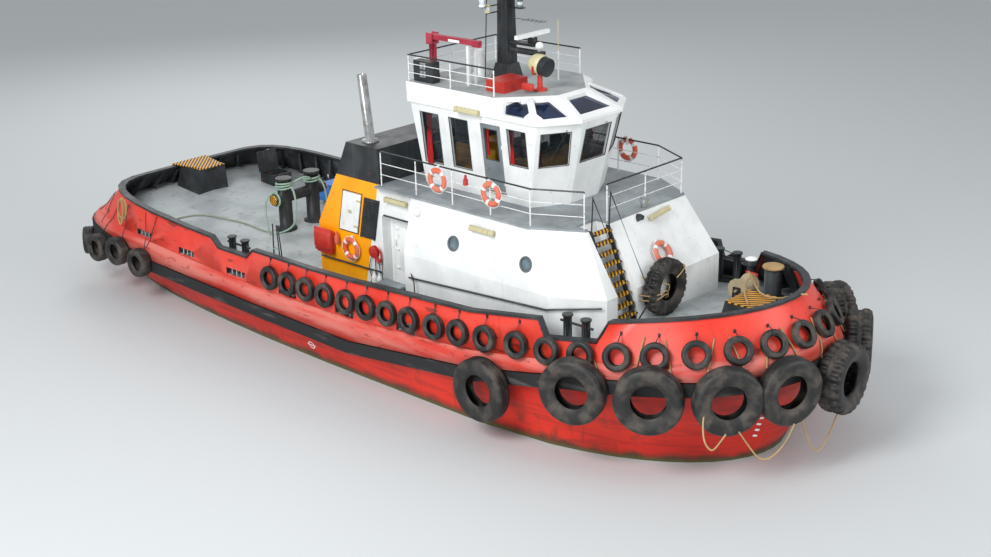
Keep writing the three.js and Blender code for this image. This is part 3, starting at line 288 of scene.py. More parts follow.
# Old ship's enamel: faded in clouds, streaked by rain down its walls, with rust where it has chipped.
def enamel(name, colour, faded, gloss=0.42, rust=0.3, grime=0.5, rust_code="6b3a22", grime_code="5b5650"):
    finish = Finish(name)
    clouds = finish.spots(0.9, detail=3).between(0.35, 0.7)
    body = finish.mix(clouds, tint(colour), tint(faded))
    streaks = finish.spots(0.12, stretch=(1, 1, 14), detail=4, shift=3.1).between(0.52, 0.78) * grime
    body = finish.mix(streaks, body, tint(grime_code))
    chips = finish.spots(0.35, detail=8, shift=7.7).between(0.66 - 0.06 * rust, 0.7)
    speckle = finish.spots(0.05, detail=3, shift=1.3).between(0.45, 0.6)
    chips = chips * speckle * min(1.0, rust * 2)
    body = finish.mix(chips, body, tint(rust_code))
    finish.set("Base Color", body)
    finish.set("Roughness", finish.spots(0.4, shift=5.0) * 0.25 + (gloss - 0.1) + chips * 0.3)
    finish.bump(finish.spots(0.25, detail=5, shift=9.0) * 0.6 - chips * 0.5, strength=0.25, depth=0.004)
    return finish.material


def paint(node, material):
    """Gives a CAD node its finish."""
    nodes[node].data.materials.clear()
    nodes[node].data.materials.append(material)


def copy_of(piece, name):
    made = bpy.data.objects.new(name, piece.data.copy())
    bpy.context.scene.collection.objects.link(made)
    return made


def fitted(piece, body, *stands_for, slot=None):
    """Fixes a finished piece to its body, in place of the CAD nodes that it stands for."""
    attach(piece, body)
    if stands_for:
        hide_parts(*stands_for)
    return piece


surfaces = dict(nodes)


def smooth_copy(node, slot, body="hull", angle=32):
    """A copy of a CAD node with its triangles joined, so that its curves shade as curves."""
    bpy.ops.object.select_all(action="DESELECT")
    made = copy_of(nodes[node], f"{node}_skin")
    made.select_set(True)
    bpy.context.view_layer.objects.active = made
    bpy.ops.object.mode_set(mode="EDIT")
    bpy.ops.mesh.select_all(action="SELECT")
    bpy.ops.mesh.remove_doubles(threshold=1e-5)
    bpy.ops.object.mode_set(mode="OBJECT")
    bpy.ops.object.shade_smooth_by_angle(angle=math.radians(angle))
    surfaces[node] = made
    return fitted(made, body, node, slot=slot)


# Hull: welded steel, painted red over a solid block that carries the deck. The topsides are scuffed along
# the ledge, slime grows at the waterline, and the deck is grey with a dark band along its edge by the
# bulwark, partly a black painted margin and partly painted shade at the bulwark's foot.
hull_paint = Finish("hull_paint")
nz = hull_paint.facing()[2]
fresh = hull_paint.spots(1.6, stretch=(2, 2, 1), detail=5).between(0.3, 0.72)
side_red = hull_paint.mix(fresh, tint("c01c0e"), tint("dc2f1a"))
scrape = hull_paint.spots(0.5, stretch=(3, 3, 0.35), detail=8, shift=2.0).between(0.5, 0.64)
side_red = hull_paint.mix(scrape * 0.35, side_red, tint("7a1c16"))
runs = hull_paint.spots(0.22, stretch=(1, 1, 9), detail=5, shift=6.0).between(0.55, 0.75)
side_red = hull_paint.mix(runs * 0.5, side_red, tint("5a2a1c"))
slime = (0.42 - hull_paint.z + (hull_paint.spots(0.5, detail=6) - 0.5) * 0.5).between(0.0, 0.35)
side_red = hull_paint.mix(slime * 0.9, side_red, tint("3a3524"))
weed = (0.16 - hull_paint.z + (hull_paint.spots(0.3, detail=4, shift=4.0) - 0.5) * 0.2).between(0.0, 0.12)
side_red = hull_paint.mix(weed * 0.8, side_red, tint("56592f"))
ledge = nz.between(0.03, 0.08)
rubbed = hull_paint.spots(0.7, stretch=(4, 4, 0.5), detail=9, shift=8.0).between(0.36, 0.62)
ledge_red = hull_paint.mix(rubbed * 0.75, tint("cf3a2d"), tint("dc8276"))
ledge_red = hull_paint.mix(
    hull_paint.spots(0.2, stretch=(2, 2, 0.6), detail=8, shift=11.0).between(0.6, 0.68) * 0.6, ledge_red,
    tint("8a2c22"),
)
shell = hull_paint.mix(ledge, side_red, ledge_red)
deck = nz.between(0.93, 0.97)
stain = hull_paint.spots(1.1, detail=5, shift=13.0).between(0.38, 0.68)
deck_grey = hull_paint.mix(stain, tint("b3b9ba"), tint("9aa1a3"))
drips = hull_paint.spots(0.28, detail=9, shift=17.0).between(0.6, 0.68)
deck_grey = hull_paint.mix(drips * 0.35, deck_grey, tint("75665a"))
side_reach = hull_paint.node("ShaderNodeMath", {"operation": "ABSOLUTE"}, {0: hull_paint.y})
# The dark band along the deck's edge next to the bulwark is partly a black painted margin and partly painted
# shade where the bulwark shades the deck.
gutter = (Level(hull_paint, side_reach.outputs[0]) + hull_paint.spots(0.8) * 0.3).between(4.15, 4.3)
deck_grey = hull_paint.mix(gutter * 0.8, deck_grey, tint("3b3e40"))
hull_paint.set("Base Color", hull_paint.mix(deck, shell, deck_grey))
hull_paint.set("Roughness", 0.38 + rubbed * 0.15 + deck * 0.3)
hull_paint.bump(hull_paint.spots(0.9, stretch=(1, 1, 0.6), detail=4, shift=21.0), strength=0.35, depth=0.02)
paint("hull", hull_paint.material)

# Bulwark: steel plate welded along the deck's edge, coral red outside with rust runs below the rail,
# and painted black within.
bulwark_paint = Finish("bulwark_paint")
nx, ny, nz = bulwark_paint.facing()
outward = (nx * bulwark_paint.x * 0.35 + ny * bulwark_paint.y).between(-0.05, 0.05)
sunned = bulwark_paint.spots(1.4, detail=5).between(0.3, 0.7)
coral = bulwark_paint.mix(sunned, tint("d8301f"), tint("e4493a"))
rust_runs = bulwark_paint.spots(0.16, stretch=(1, 1, 12), detail=6, shift=2.5).between(0.6, 0.72)
stern_side = (-6.0 - bulwark_paint.x).between(0.0, 5.0)
coral = bulwark_paint.mix(rust_runs * (0.25 + stern_side * 0.6), coral, tint("7a3a20"))
scuffs = bulwark_paint.spots(0.45, stretch=(2, 2, 0.5), detail=9, shift=5.5).between(0.63, 0.68)
coral = bulwark_paint.mix(scuffs * 0.7, coral, tint("6b2a24"))
inner = bulwark_paint.mix(bulwark_paint.spots(0.6, detail=7, shift=4.0).between(0.4, 0.7), tint("24282b"),
                          tint("4a4f52"))
bulwark_paint.set("Base Color", bulwark_paint.mix(outward, inner, coral))
bulwark_paint.set("Roughness", 0.55 - outward * 0.2)
bulwark_paint.bump(bulwark_paint.spots(0.8, detail=4, shift=9.0), strength=0.3, depth=0.015)
paint("bulwark", bulwark_paint.material)

# Rail along the bulwark's top: a steel flat bar painted black, bent in plan with the ship's side and
# welded on, its curves shaded smooth.
black_enamel = enamel("black_enamel", "1d2124", "34393c", gloss=0.5, rust=0.5, grime=0.3,
                      grime_code="6e6a62")
paint("bulwark_rail", black_enamel)

# Rubbing belt: black moulded rubber, ribbed along its face and scuffed pale where other ships have lain.
belt_rubber = Finish("belt_rubber")
rubs = belt_rubber.spots(0.5, stretch=(3, 3, 0.6), detail=8).between(0.55, 0.72)
belt_rubber.set("Base Color", belt_rubber.mix(rubs * 0.6, tint("1b1c1e"), tint("6a6663")))
belt_rubber.set("Roughness", 0.7 + rubs * 0.2)
belt_rubber.bump(belt_rubber.spots(0.08, detail=6), strength=0.5, depth=0.01)
paint("fender_belt", belt_rubber.material)

# Plain ship's paints for the rest of the steelwork: white walls, grey decks, black bitts and frames,
# crimson crane and red lockers. Each is rolled on over welded plate, so that rain and rust mark it.
white_enamel = enamel("white_enamel", "eceeed", "dde0df", gloss=0.38, rust=0.12, grime=0.14,
                      grime_code="9a9286")
deck_paint = enamel("deck_paint", "9aa1a4", "81888b", gloss=0.7, rust=0.35, grime=0.3)
crimson_enamel = enamel("crimson_enamel", "9a2438", "b03a4a", gloss=0.5, rust=0.3, grime=0.25)
red_enamel = enamel("red_enamel", "b32820", "c63c30", gloss=0.4, rust=0.3, grime=0.2)
for node in ("deckhouse", "deckhouse_door_starboard", "deckhouse_door_port", "wheelhouse", "casing_hatch",
             "radar_scanner", "dome_aerial", "crane_rest"):
    paint(node, white_enamel)
paint("boat_deck", deck_paint)
for node in ("casing_top", "casing_louvre", "towing_bitt", "aft_bitt_port", "aft_bitt_starboard",
             "fore_bitt_port", "fore_bitt_starboard", "deck_hatch", "hatch_lid", "windlass_frame",
             "fore_bollard", "helm_chair", "mast", "floodlight_box", "drive_starboard", "drive_port"):
    paint(node, black_enamel)

# Wheelhouse roof: a welded steel cap, its flat top painted grey and its slopes and edges white.
# The two colours meet at the ridge where the flat ends.
roof_paint = Finish("roof_paint")
level = roof_paint.z.between(8.865, 8.87) * roof_paint.facing()[2].between(0.95, 0.98)
worn_white = roof_paint.mix(roof_paint.spots(0.9, detail=3).between(0.35, 0.7), tint("f1f2f1"),
                            tint("e4e6e5"))
worn_grey = roof_paint.mix(roof_paint.spots(0.7, detail=6).between(0.35, 0.7), tint("a6abab"),
                           tint("8f9596"))
roof_paint.set("Base Color", roof_paint.mix(level, worn_white, worn_grey))
roof_paint.set("Roughness", level * 0.3 + 0.35)
roof_paint.bump(roof_paint.spots(0.3, detail=4), strength=0.15, depth=0.003)
paint("wheelhouse_roof", roof_paint.material)

# Crane and locker on the roof, painted crimson and red, and bronze propellers cast with their hubs,
# dulled and green in their hollows.
paint("crane_column", crimson_enamel)
paint("crane_boom", crimson_enamel)
paint("roof_locker", red_enamel)
bronze = Finish("bronze", metallic=0.9)
bronze.set("Base Color", bronze.mix(bronze.spots(0.3).between(0.4, 0.6), tint("9a7438"), tint("6f6a3c")))
bronze.set("Roughness", bronze.spots(0.2) * 0.4 + 0.2)
paint("propeller_starboard", bronze.material)
paint("propeller_port", bronze.material)

# Exhaust pipe: insulation under a jacket of bright sheet metal, lapped in rings that show as seams.
# It stands out of the casing's top.
lagging = Finish("lagging", metallic=0.85)
seams = (lagging.z * 1.6).maths("FRACT", 0).between(0.94, 0.97)
lagging.set("Base Color", lagging.mix(lagging.spots(0.3).between(0.4, 0.7), tint("c9cccc"), tint("9c9a94")))
lagging.set("Roughness", lagging.spots(0.15) * 0.3 + 0.22)
lagging.bump(seams, strength=0.5, depth=0.01)
paint("exhaust_pipe", lagging.material)

# Windows: toughened panes, dark from outside, set in the wheelhouse walls, and blue-tinted panes let into
# the slopes of the roof.
glass = Finish("window_glass", roughness=0.06, alpha=0.36)
glass.set("Base Color", glass.mix(glass.spots(0.8).between(0.3, 0.7), tint("10181e"), tint("1c2830")))
for node in ("glazing_aft", "glazing_fore"):
    paint(node, glass.material)
skylight = Finish("skylight_tint", roughness=0.08)
skylight.set("Base Color",
             skylight.mix(skylight.spots(0.6).between(0.3, 0.7), tint("0d1830"), tint("1b2c4c")))
paint("skylight_glass", skylight.material)

# Curved shells and round posts get a joined skin each, so that light runs smoothly round them. The skins
# keep the shapes of the solids that they stand for.
for node, slot in (("hull", "hull_red"), ("bulwark", "hull_red"), ("bulwark_rail", "black"),
                   ("fender_belt", "rubber")):
    smooth_copy(node, slot, angle=50)
for node, slot in (("exhaust_pipe", "steel"), ("mast", "black"),
                   ("towing_bitt", "black"), ("aft_bitt_port", "black"), ("aft_bitt_starboard", "black"),
                   ("fore_bitt_port", "black"), ("fore_bitt_starboard", "black"), ("fore_bollard", "black"),
                   ("dome_aerial", "white"), ("casing_top", "black")):
    smooth_copy(node, slot)
smooth_copy("crane_column", "crimson", body="crane_column")


# Tyres: worn road tyres hung on lashings, with treads round them, a bulging wall each side and an open
# hollow within. Each row of the CAD is replaced by real tyres in the same places.
tyre_rubber = Finish("tyre_rubber")
dust = tyre_rubber.spots(0.4, detail=7).between(0.42, 0.75)
tyre_rubber.set("Base Color", tyre_rubber.mix(dust, tint("1b1a1a"), tint("564f48")))
tyre_rubber.set("Roughness", 0.5 + dust * 0.3)
tyre_rubber.bump(tyre_rubber.spots(0.05, detail=4), strength=0.4, depth=0.006)


def turned(name, profile, steps=32):
    """A solid of revolution about Z: profile is (radius, height) points, closed on the axis or on itself."""
    bpy.ops.object.select_all(action="DESELECT")
    bpy.ops.mesh.primitive_plane_add(size=0.1)
    bpy.ops.object.mode_set(mode="EDIT")
    bpy.ops.mesh.select_all(action="SELECT")
    bpy.ops.mesh.merge(type="CENTER")
    bpy.ops.transform.translate(value=(profile[0][0], 0, profile[0][1]))
    for (r0, z0), (r1, z1) in zip(profile, profile[1:]):
        bpy.ops.mesh.extrude_region_move(TRANSFORM_OT_translate={"value": (r1 - r0, 0, z1 - z0)})
    bpy.ops.mesh.select_all(action="SELECT")
    bpy.ops.mesh.spin(steps=steps, angle=2 * math.pi, center=(0, 0, 0), axis=(0, 0, 1))
    bpy.ops.mesh.select_all(action="SELECT")
    bpy.ops.mesh.remove_doubles(threshold=1e-5)
    bpy.ops.mesh.normals_make_consistent(inside=False)
    bpy.ops.object.mode_set(mode="OBJECT")
    made = bpy.context.object
    made.name = name
    bpy.ops.object.shade_smooth_by_angle(angle=math.radians(40))
    return made


def joined(pieces, name):
    bpy.ops.object.select_all(action="DESELECT")
    for piece in pieces:
        piece.select_set(True)
    bpy.context.view_layer.objects.active = pieces[0]
    if len(pieces) > 1:
        bpy.ops.object.join()
    pieces[0].name = name
    return pieces[0]


def road_tyre(name, radius, width, bead, steps, lugs=0):
    """A tyre lying flat: the tread with grooves, both walls and the hollow, as one skin."""
    half = width / 2
    inner = radius * bead
    wall = radius * 0.05
    tread = [(radius * 0.985, half * 0.7), (radius, half * 0.55), (radius, half * 0.3),
             (radius * 0.982, half * 0.27),
             (radius * 0.982, half * 0.2), (radius, half * 0.17)]
    outside = [(inner, half * 0.62), (inner + wall, half * 0.78), (radius * 0.72, half * 0.97),
               (radius * 0.84, half), (radius * 0.93, half * 0.92)] + tread
    inside = [(inner, half * 0.5), (radius * 0.72, half * 0.8), (radius * 0.88, half * 0.72),
              (radius * 0.93, half * 0.3)]
    upper = outside + [(r, -z) for r, z in reversed(outside)]
    hollow = [(r, -z) for r, z in inside] + list(reversed(inside))
    made = turned(name, upper + hollow + [outside[0]], steps)
    if lugs:
        bpy.ops.object.mode_set(mode="EDIT")
        bpy.ops.mesh.select_mode(type="FACE")
        bpy.ops.mesh.select_all(action="DESELECT")
        bpy.ops.object.mode_set(mode="OBJECT")
        for face in made.data.polygons:
            out = math.hypot(face.center.x, face.center.y)
            turn = math.atan2(face.center.y, face.center.x) / (2 * math.pi) * lugs
            lean = 0.5 * (face.center.z > 0)
            face.select = out > radius * 0.9 and (turn + lean) % 1 < 0.5 and abs(face.center.z) > half * 0.1
        bpy.ops.object.mode_set(mode="EDIT")
        bpy.ops.mesh.extrude_region_move()
        bpy.ops.transform.resize(value=(1.05, 1.05, 1.0), center_override=(0, 0, 0))
        bpy.ops.mesh.select_mode(type="VERT")
        bpy.ops.object.mode_set(mode="OBJECT")
    made.data.materials.append(tyre_rubber.material)
    return made


def hung(pattern, name, x, y, z, angle, lean):
    """A copy of a tyre with its axis level and pointing by angle, tipped back by lean degrees."""
    made = copy_of(pattern, name)
    turn = Matrix.Rotation(math.radians(angle), 4, "Z") @ Matrix.Rotation(math.radians(90 - lean), 4, "Y")
    made.data.transform(Matrix.Translation((x, y, z)) @ turn)
    return made


small_tyre = road_tyre("small_tyre", 0.385, 0.21, 0.56, 28)
large_tyre = road_tyre("large_tyre", 0.92, 0.5, 0.5, 40)
lugged_tyre = road_tyre("lugged_tyre", 0.93, 0.72, 0.5, 48, lugs=24)
stern_tyre = road_tyre("stern_tyre", 0.5, 0.42, 0.52, 32)
spare_pattern = road_tyre("spare_pattern", 0.77, 0.43, 0.5, 48, lugs=24)

small_places = [
    (-2.97, 4.541, 2.511, 90, 5), (-2.09, 4.54, 2.53, 90, 5), (-1.23, 4.54, 2.549, 90, 5),
    (-0.34, 4.54, 2.569, 90, 5), (0.61, 4.54, 2.59, 90, 5), (1.5, 4.541, 2.631, 90, 5),
    (2.41, 4.542, 2.672, 90, 5), (3.33, 4.543, 2.714, 90, 5), (4.35, 4.543, 2.76, 90, 5),
    (5.3, 4.541, 2.833, 90, 5), (6.3, 4.518, 2.91, 90, 5), (7.404, 4.449, 3.0, 88, 6),
    (8.432, 4.367, 3.08, 84, 8), (9.452, 4.197, 3.18, 77, 10), (10.441, 3.906, 3.3, 69, 13),
    (11.37, 3.522, 3.43, 60, 17), (12.281, 2.98, 3.56, 50, 22), (13.063, 2.259, 3.66, 40, 27),
    (13.594, 1.454, 3.73, 27, 31), (13.86, 0.488, 3.77, 9, 33),
]
small_hung = []
for n, (x, y, z, angle, lean) in enumerate(small_places):
    for side in (1, -1):
        small_hung.append(hung(small_tyre, f"small_tyre_{n}_{side}", x, side * y, z, side * angle, lean))

bow_large = [
    (9.556, -4.611, 2.33, -73), (11.578, -4.024, 2.45, -58), (13.251, -2.946, 2.56, -39),
    (14.126, -1.494, 2.6, -21), (10.464, 4.38, 2.43, 69), (8.393, 4.742, 2.25, 85),
]
bow_lugged = [(14.488, 0.521, 2.4, 4), (13.809, 2.444, 2.56, 30), (12.278, 3.782, 2.62, 53)]
bow_hung = [hung(large_tyre, f"bow_tyre_{n}", x, y, z, a, 0) for n, (x, y, z, a) in enumerate(bow_large)]
bow_hung += [hung(lugged_tyre, f"bow_lugged_{n}", x, y, z, a, 0) for n,
             (x, y, z, a) in enumerate(bow_lugged)]

stern_places = [
    (-9.8, 4.8, 1.56, 90), (-11.15, 4.771, 1.68, 90), (-12.506, 4.678, 1.5, 92),
    (-13.672, 4.284, 1.42, 128),
]
for side, name in ((1, "port"), (-1, "starboard")):
    row = [hung(stern_tyre, f"stern_{name}_{n}", x, side * y, z, side * a, 0)
           for n, (x, y, z, a) in enumerate(stern_places)]
    fitted(joined(row, f"stern_tyres_on_{name}"), "hull", f"stern_tyres_{name}", slot="tyre")
    beam = hung(large_tyre, f"side_tyre_on_{name}", 6.5, side * 4.889, 1.58, side * 90, 0)
    fitted(beam, "hull", f"side_tyre_{name}", slot="tyre")
fitted(joined(small_hung, "small_tyre_row"), "hull", "small_tyres", slot="tyre")
fitted(joined(bow_hung, "bow_tyre_row"), "hull", "bow_tyres", slot="tyre")
fitted(hung(spare_pattern, "spare_tyre_on_deck", 9.265, -0.3, 3.94, 0, 0), "hull", "spare_tyre",
       slot="tyre")
for pattern in (small_tyre, large_tyre, lugged_tyre, stern_tyre, spare_pattern):
    bpy.data.objects.remove(pattern)


# Deckhouse fittings: portholes in grey rims, a dark handrail along each side, beige tube lamps and a round
# lamp, and at each side door a rain gutter, a step and a bent rail. All are bolted to the painted walls.
def block(name, low, high, bevel=0.008, segments=2):
    """A plate or box between two corners, its edges rounded over."""
    size = [h - l for l, h in zip(low, high)]
    middle = [(l + h) / 2 for l, h in zip(low, high)]
    bpy.ops.object.select_all(action="DESELECT")
    bpy.ops.mesh.primitive_cube_add(size=1.0, location=middle, scale=size)
    bpy.ops.object.transform_apply(location=True, rotation=True, scale=True)
    made = bpy.context.object
    made.name = name
    bpy.ops.object.mode_set(mode="EDIT")
    bpy.ops.mesh.select_all(action="SELECT")
    bpy.ops.mesh.bevel(offset=min(bevel, min(size) * 0.35), segments=segments, affect="EDGES")
    bpy.ops.object.mode_set(mode="OBJECT")
    bpy.ops.object.shade_smooth_by_angle(angle=math.radians(35))
    return made


def seat(node, near, right=(1, 0, 0), stand=0.0):
    """Where a fitting made facing +Z sits on a CAD node, at the point of its skin nearest to near."""
    point, out = surfaces[node].closest_point_on_mesh(Vector(near))[1:3]
    right = (Vector(right) - out * out.dot(Vector(right))).normalized()
    frame = Matrix((right, out.cross(right), out)).transposed().to_4x4()
    frame.translation = point + out * stand
    return frame


def placed(piece, matrix, material=None):
    piece.data.transform(matrix)
    if material:
        piece.data.materials.append(material)
    return piece


def rod(name, points, radius, material, sides=10):
    """A bent bar or pipe with straight lengths between its corners."""
    return drawn(name, points, radius, sides=sides, smooth=False, material=material)


lamp_cream = enamel("lamp_cream", "c9c19a", "b3a987", gloss=0.45, rust=0.15, grime=0.2)
porthole_glass = Finish("porthole_glass", roughness=0.12)
porthole_glass.set("Base Color", porthole_glass.mix(
    porthole_glass.spots(0.25).between(0.3, 0.7), tint("4e5d66"), tint("74858d"),
))
rim_grey = enamel("rim_grey", "565b5d", "6b7072", gloss=0.45, rust=0.3, grime=0.2)

rim_profile = [(0.172, -0.03), (0.172, 0.018), (0.185, 0.026), (0.215, 0.026), (0.228, 0.014),
               (0.228, -0.03),
               (0.172, -0.03)]
pane_profile = [(0.0, -0.012), (0.12, -0.008), (0.175, -0.014), (0.175, -0.03), (0.0, -0.03)]
wall_lean = 0.4 / 1.69
porthole_z = 4.79
rims, panes = [], []
for side in (-1, 1):
    for x in (3.9, 6.68):
        out = Vector((0, side, wall_lean)).normalized()
        spot = out.to_track_quat("Z", "Y").to_matrix().to_4x4()
        spot.translation = Vector((x, side * (3.35 - wall_lean * (porthole_z - 4.11)), porthole_z))
        rims.append(placed(turned("rim", rim_profile, 36), spot, rim_grey))
        panes.append(placed(turned("pane", pane_profile, 36), spot, porthole_glass.material))
fitted(joined(rims, "porthole_rims"), "hull", slot="white")
fitted(joined(panes, "porthole_panes"), "hull", slot="glass")


def tube_lamp(name, near, right, node):
    """A fluorescent tube behind a ribbed cover, on two feet, with a cap at each end."""
    cover = block("cover", (-0.42, -0.075, 0.045), (0.42, 0.075, 0.155), bevel=0.045, segments=4)
    feet = [block("foot", (x - 0.03, -0.06, -0.02), (x + 0.03, 0.06, 0.06)) for x in (-0.28, 0.28)]
    ends = [block("end", (x - 0.03, -0.085, 0.035), (x + 0.03, 0.085, 0.165), bevel=0.03, segments=3)
            for x in (-0.43, 0.43)]
    ribs = [block("rib", (x - 0.004, -0.078, 0.042), (x + 0.004, 0.078, 0.158), bevel=0.003) for x in
            (-0.25, -0.08, 0.08, 0.25)]
    return placed(joined([cover] + feet + ends + ribs, name), seat(node, near, right), lamp_cream)


lamps = []
for side in (-1, 1):
    lamps.append(tube_lamp("lamp", (1.23, side * 3.2, 5.43), (-side, 0, 0), "deckhouse"))
    lamps.append(tube_lamp("lamp", (4.99, side * 3.6, 5.5), (-side, 0, 0), "deckhouse"))
lamps.append(tube_lamp("lamp", (8.4, 0.78, 5.7), (0, 1, 0.12), "deckhouse"))
fitted(joined(lamps, "tube_lamps"), "hull", slot="white")

round_profile = [(0.0, 0.16), (0.06, 0.152), (0.11, 0.12), (0.135, 0.07), (0.14, 0.02), (0.165, 0.018),
                 (0.165, -0.02), (0.0, -0.02)]
domes = [placed(turned("dome", round_profile, 28), seat("deckhouse", (2.36, side * 3.5, 5.5)), white_enamel)
         for side in (-1, 1)]
fitted(joined(domes, "round_lamps"), "hull", slot="white")

rails = []
for side in (-1, 1):
    way = [(2.25, 3.44, 3.44), (2.4, 3.44, 3.45), (7.6, 3.44, 3.76), (8.98, 2.72, 3.91)]
    rails.append(rod("rail", [(x, side * y, z) for x, y, z in way], 0.026, black_enamel))
    for x, y, z, inward in ((2.4, 3.44, 3.45, (0, 0.12)), (4.1, 3.44, 3.55, (0, 0.12)),
                            (5.9, 3.44, 3.66, (0, 0.12)),
                            (7.5, 3.44, 3.755, (0, 0.12)), (8.9, 2.762, 3.9, (0.06, 0.12))):
        end = (x - inward[0], side * (y - inward[1]), z - 0.03)
        rails.append(rod("stay", [(x, side * y, z), end], 0.016, black_enamel, sides=6))
    hoop = [(1.68, 3.0, 2.1), (1.7, 3.0, 3.7), (1.76, 3.03, 3.76), (2.5, 3.5, 3.42), (2.55, 3.52, 3.36),
            (2.6, 3.54, 2.12)]
    rails.append(rod("hoop", [(x, side * y, z) for x, y, z in hoop], 0.019, black_enamel))
    rails.append(rod("hoop_post", [(2.9, side * 3.56, 3.3), (2.9, side * 3.56, 2.12)], 0.014, white_enamel))
    gutter = block("gutter", (0.6, -0.03, 4.86), (1.66, 0.05, 4.9), bevel=0.008)
    rails.append(placed(gutter, Matrix.Translation((0, side * 2.82, 0)), black_enamel))
fitted(joined(rails, "deckhouse_handrails"), "hull", slot="black")

steps = []
for side in (-1, 1):
    low, high = sorted((side * 2.79, side * 3.16))
    steps.append(placed(block("tread", (0.54, low, 2.76), (1.51, high, 2.84), bevel=0.012), Matrix(),
                        deck_paint))
    for x in (0.62, 1.4):
        steps.append(placed(block("leg", (x - 0.03, low + 0.03, 2.08), (x + 0.03, high - 0.03, 2.77),
                                  bevel=0.006),
                            Matrix(), black_enamel))
    steps.append(placed(block("riser", (0.6, low + 0.02, 2.62), (1.45, high - 0.02, 2.77), bevel=0.006),
                        Matrix(), black_enamel))
fitted(joined(steps, "door_steps"), "hull", slot="deck_grey")

# Side doors: steel leaves painted white, each with a raised panel, three dogs and a pull handle. The
# fittings are bolted to the leaf and swing with it.
door_levers = {"starboard": -1, "port": 1}
for name, side in door_levers.items():
    low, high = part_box(f"deckhouse_door_{name}")
    face = low.y if side < 0 else high.y
    bits = []
    for z in (3.15, 3.75, 4.4):
        bits.append(block("dog", (low.x + 0.05, -0.02, z - 0.02), (low.x + 0.22, 0.03, z + 0.02),
                          bevel=0.01))
    bits.append(block("pull", (low.x + 0.1, -0.01, 3.85), (low.x + 0.13, 0.06, 4.05), bevel=0.01))
    bits.append(block("panel", (low.x + 0.26, -0.01, 3.1), (high.x - 0.08, 0.012, 4.5), bevel=0.01))
    flip = Matrix.Diagonal((1, side, 1, 1))
    leaf = placed(joined(bits, f"door_furniture_{name}"), Matrix.Translation((0, face, 0)) @ flip,
                  white_enamel)
    if side < 0:
        leaf.data.flip_normals()
    fitted(leaf, f"deckhouse_door_{name}", slot="white")


# Casing side: steel plate in yellow, and white forward of a slanting edge. It carries a black louvre, a
# white access hatch, a red moulded hose locker, and a hose reel over two white gas bottles.
casing_paint = Finish("casing_paint")
split = (casing_paint.x - (casing_paint.z - 2.24) * 0.2175 + 0.39).between(-0.006, 0.006)
sun_yellow = casing_paint.mix(casing_paint.spots(0.9).between(0.35, 0.7), tint("ffab00"), tint("f59c05"))
side_reach = casing_paint.node("ShaderNodeMath", {"operation": "ABSOLUTE"}, {0: casing_paint.y})
outer = Level(casing_paint, side_reach.outputs[0]).between(1.2, 1.25)
clean = casing_paint.mix(casing_paint.spots(0.8, shift=3.0).between(0.3, 0.7), tint("e8ebea"),
                         tint("d9dddc"))
coat = casing_paint.mix(split * outer, sun_yellow, clean)
runs = casing_paint.spots(0.1, stretch=(1, 1, 12), detail=5, shift=8.0).between(0.6, 0.75)
coat = casing_paint.mix(runs * 0.25, coat, tint("7d5a2a"))
foot = (2.6 - casing_paint.z + casing_paint.spots(0.3, detail=6) * 0.6).between(0.2, 0.7)
coat = casing_paint.mix(foot * 0.3, coat, tint("6d5a3a"))
casing_paint.set("Base Color", coat)
casing_paint.set("Roughness", casing_paint.spots(0.5) * 0.2 + 0.32)
casing_paint.bump(casing_paint.spots(0.4, detail=4), strength=0.2, depth=0.006)
paint("casing", casing_paint.material)


def lifebuoy(name):
    """A ring buoy lying flat: an orange ring with four white bands and a grab line round it."""
    section = [(0.285 + 0.085 * math.cos(t), 0.06 * math.sin(t))
               for t in [i * math.pi / 6 for i in range(12)]]
    ring = turned(name, section + section[:1], 40)
    ring.data.materials.append(buoy_orange)
    ring.data.materials.append(white_enamel)
    for face in ring.data.polygons:
        turn = math.atan2(face.center.y, face.center.x) / (math.pi / 2) % 1
        face.material_index = int(abs(turn - 0.5) < 0.09)
    corners = [math.pi / 4 + i * math.pi / 2 for i in range(4)]
    line = []
    for turn in corners:
        line += [(0.372 * math.cos(turn), 0.372 * math.sin(turn), 0.02)]
        line += [(0.4 * math.cos(turn + step), 0.4 * math.sin(turn + step), 0.0)
                 for step in (0.4, 0.8, 1.17)]
    grab = drawn("grab", line, 0.008, sides=8, closed=True, smooth=False, material=white_enamel)
    hook = block("hook", (-0.03, 0.16, -0.1), (0.03, 0.42, -0.02), bevel=0.01)
    hook.data.materials.append(white_enamel)
    return joined([ring, grab, hook], name)


buoy_orange = enamel("buoy_orange", "d9573a", "cf7a62", gloss=0.6, rust=0.0, grime=0.15)
casing_side = 2.8
on_casing = seat("casing", (-0.88, -3.0, 3.51))
fitted(placed(lifebuoy("casing_lifebuoy"), Matrix.Translation((0, -0.1, 0)) @ on_casing), "hull",
       slot="crimson")

hatch_rake = 0.212
hatch_top = 5.32
hatch_low, hatch_high = (-1.18, 4.05), (-0.37, hatch_top)


def raked(x, z):
    """x of a line on the casing that passes x at the hatch's top and leans with its aft end."""
    return x - hatch_rake * (hatch_top - z)


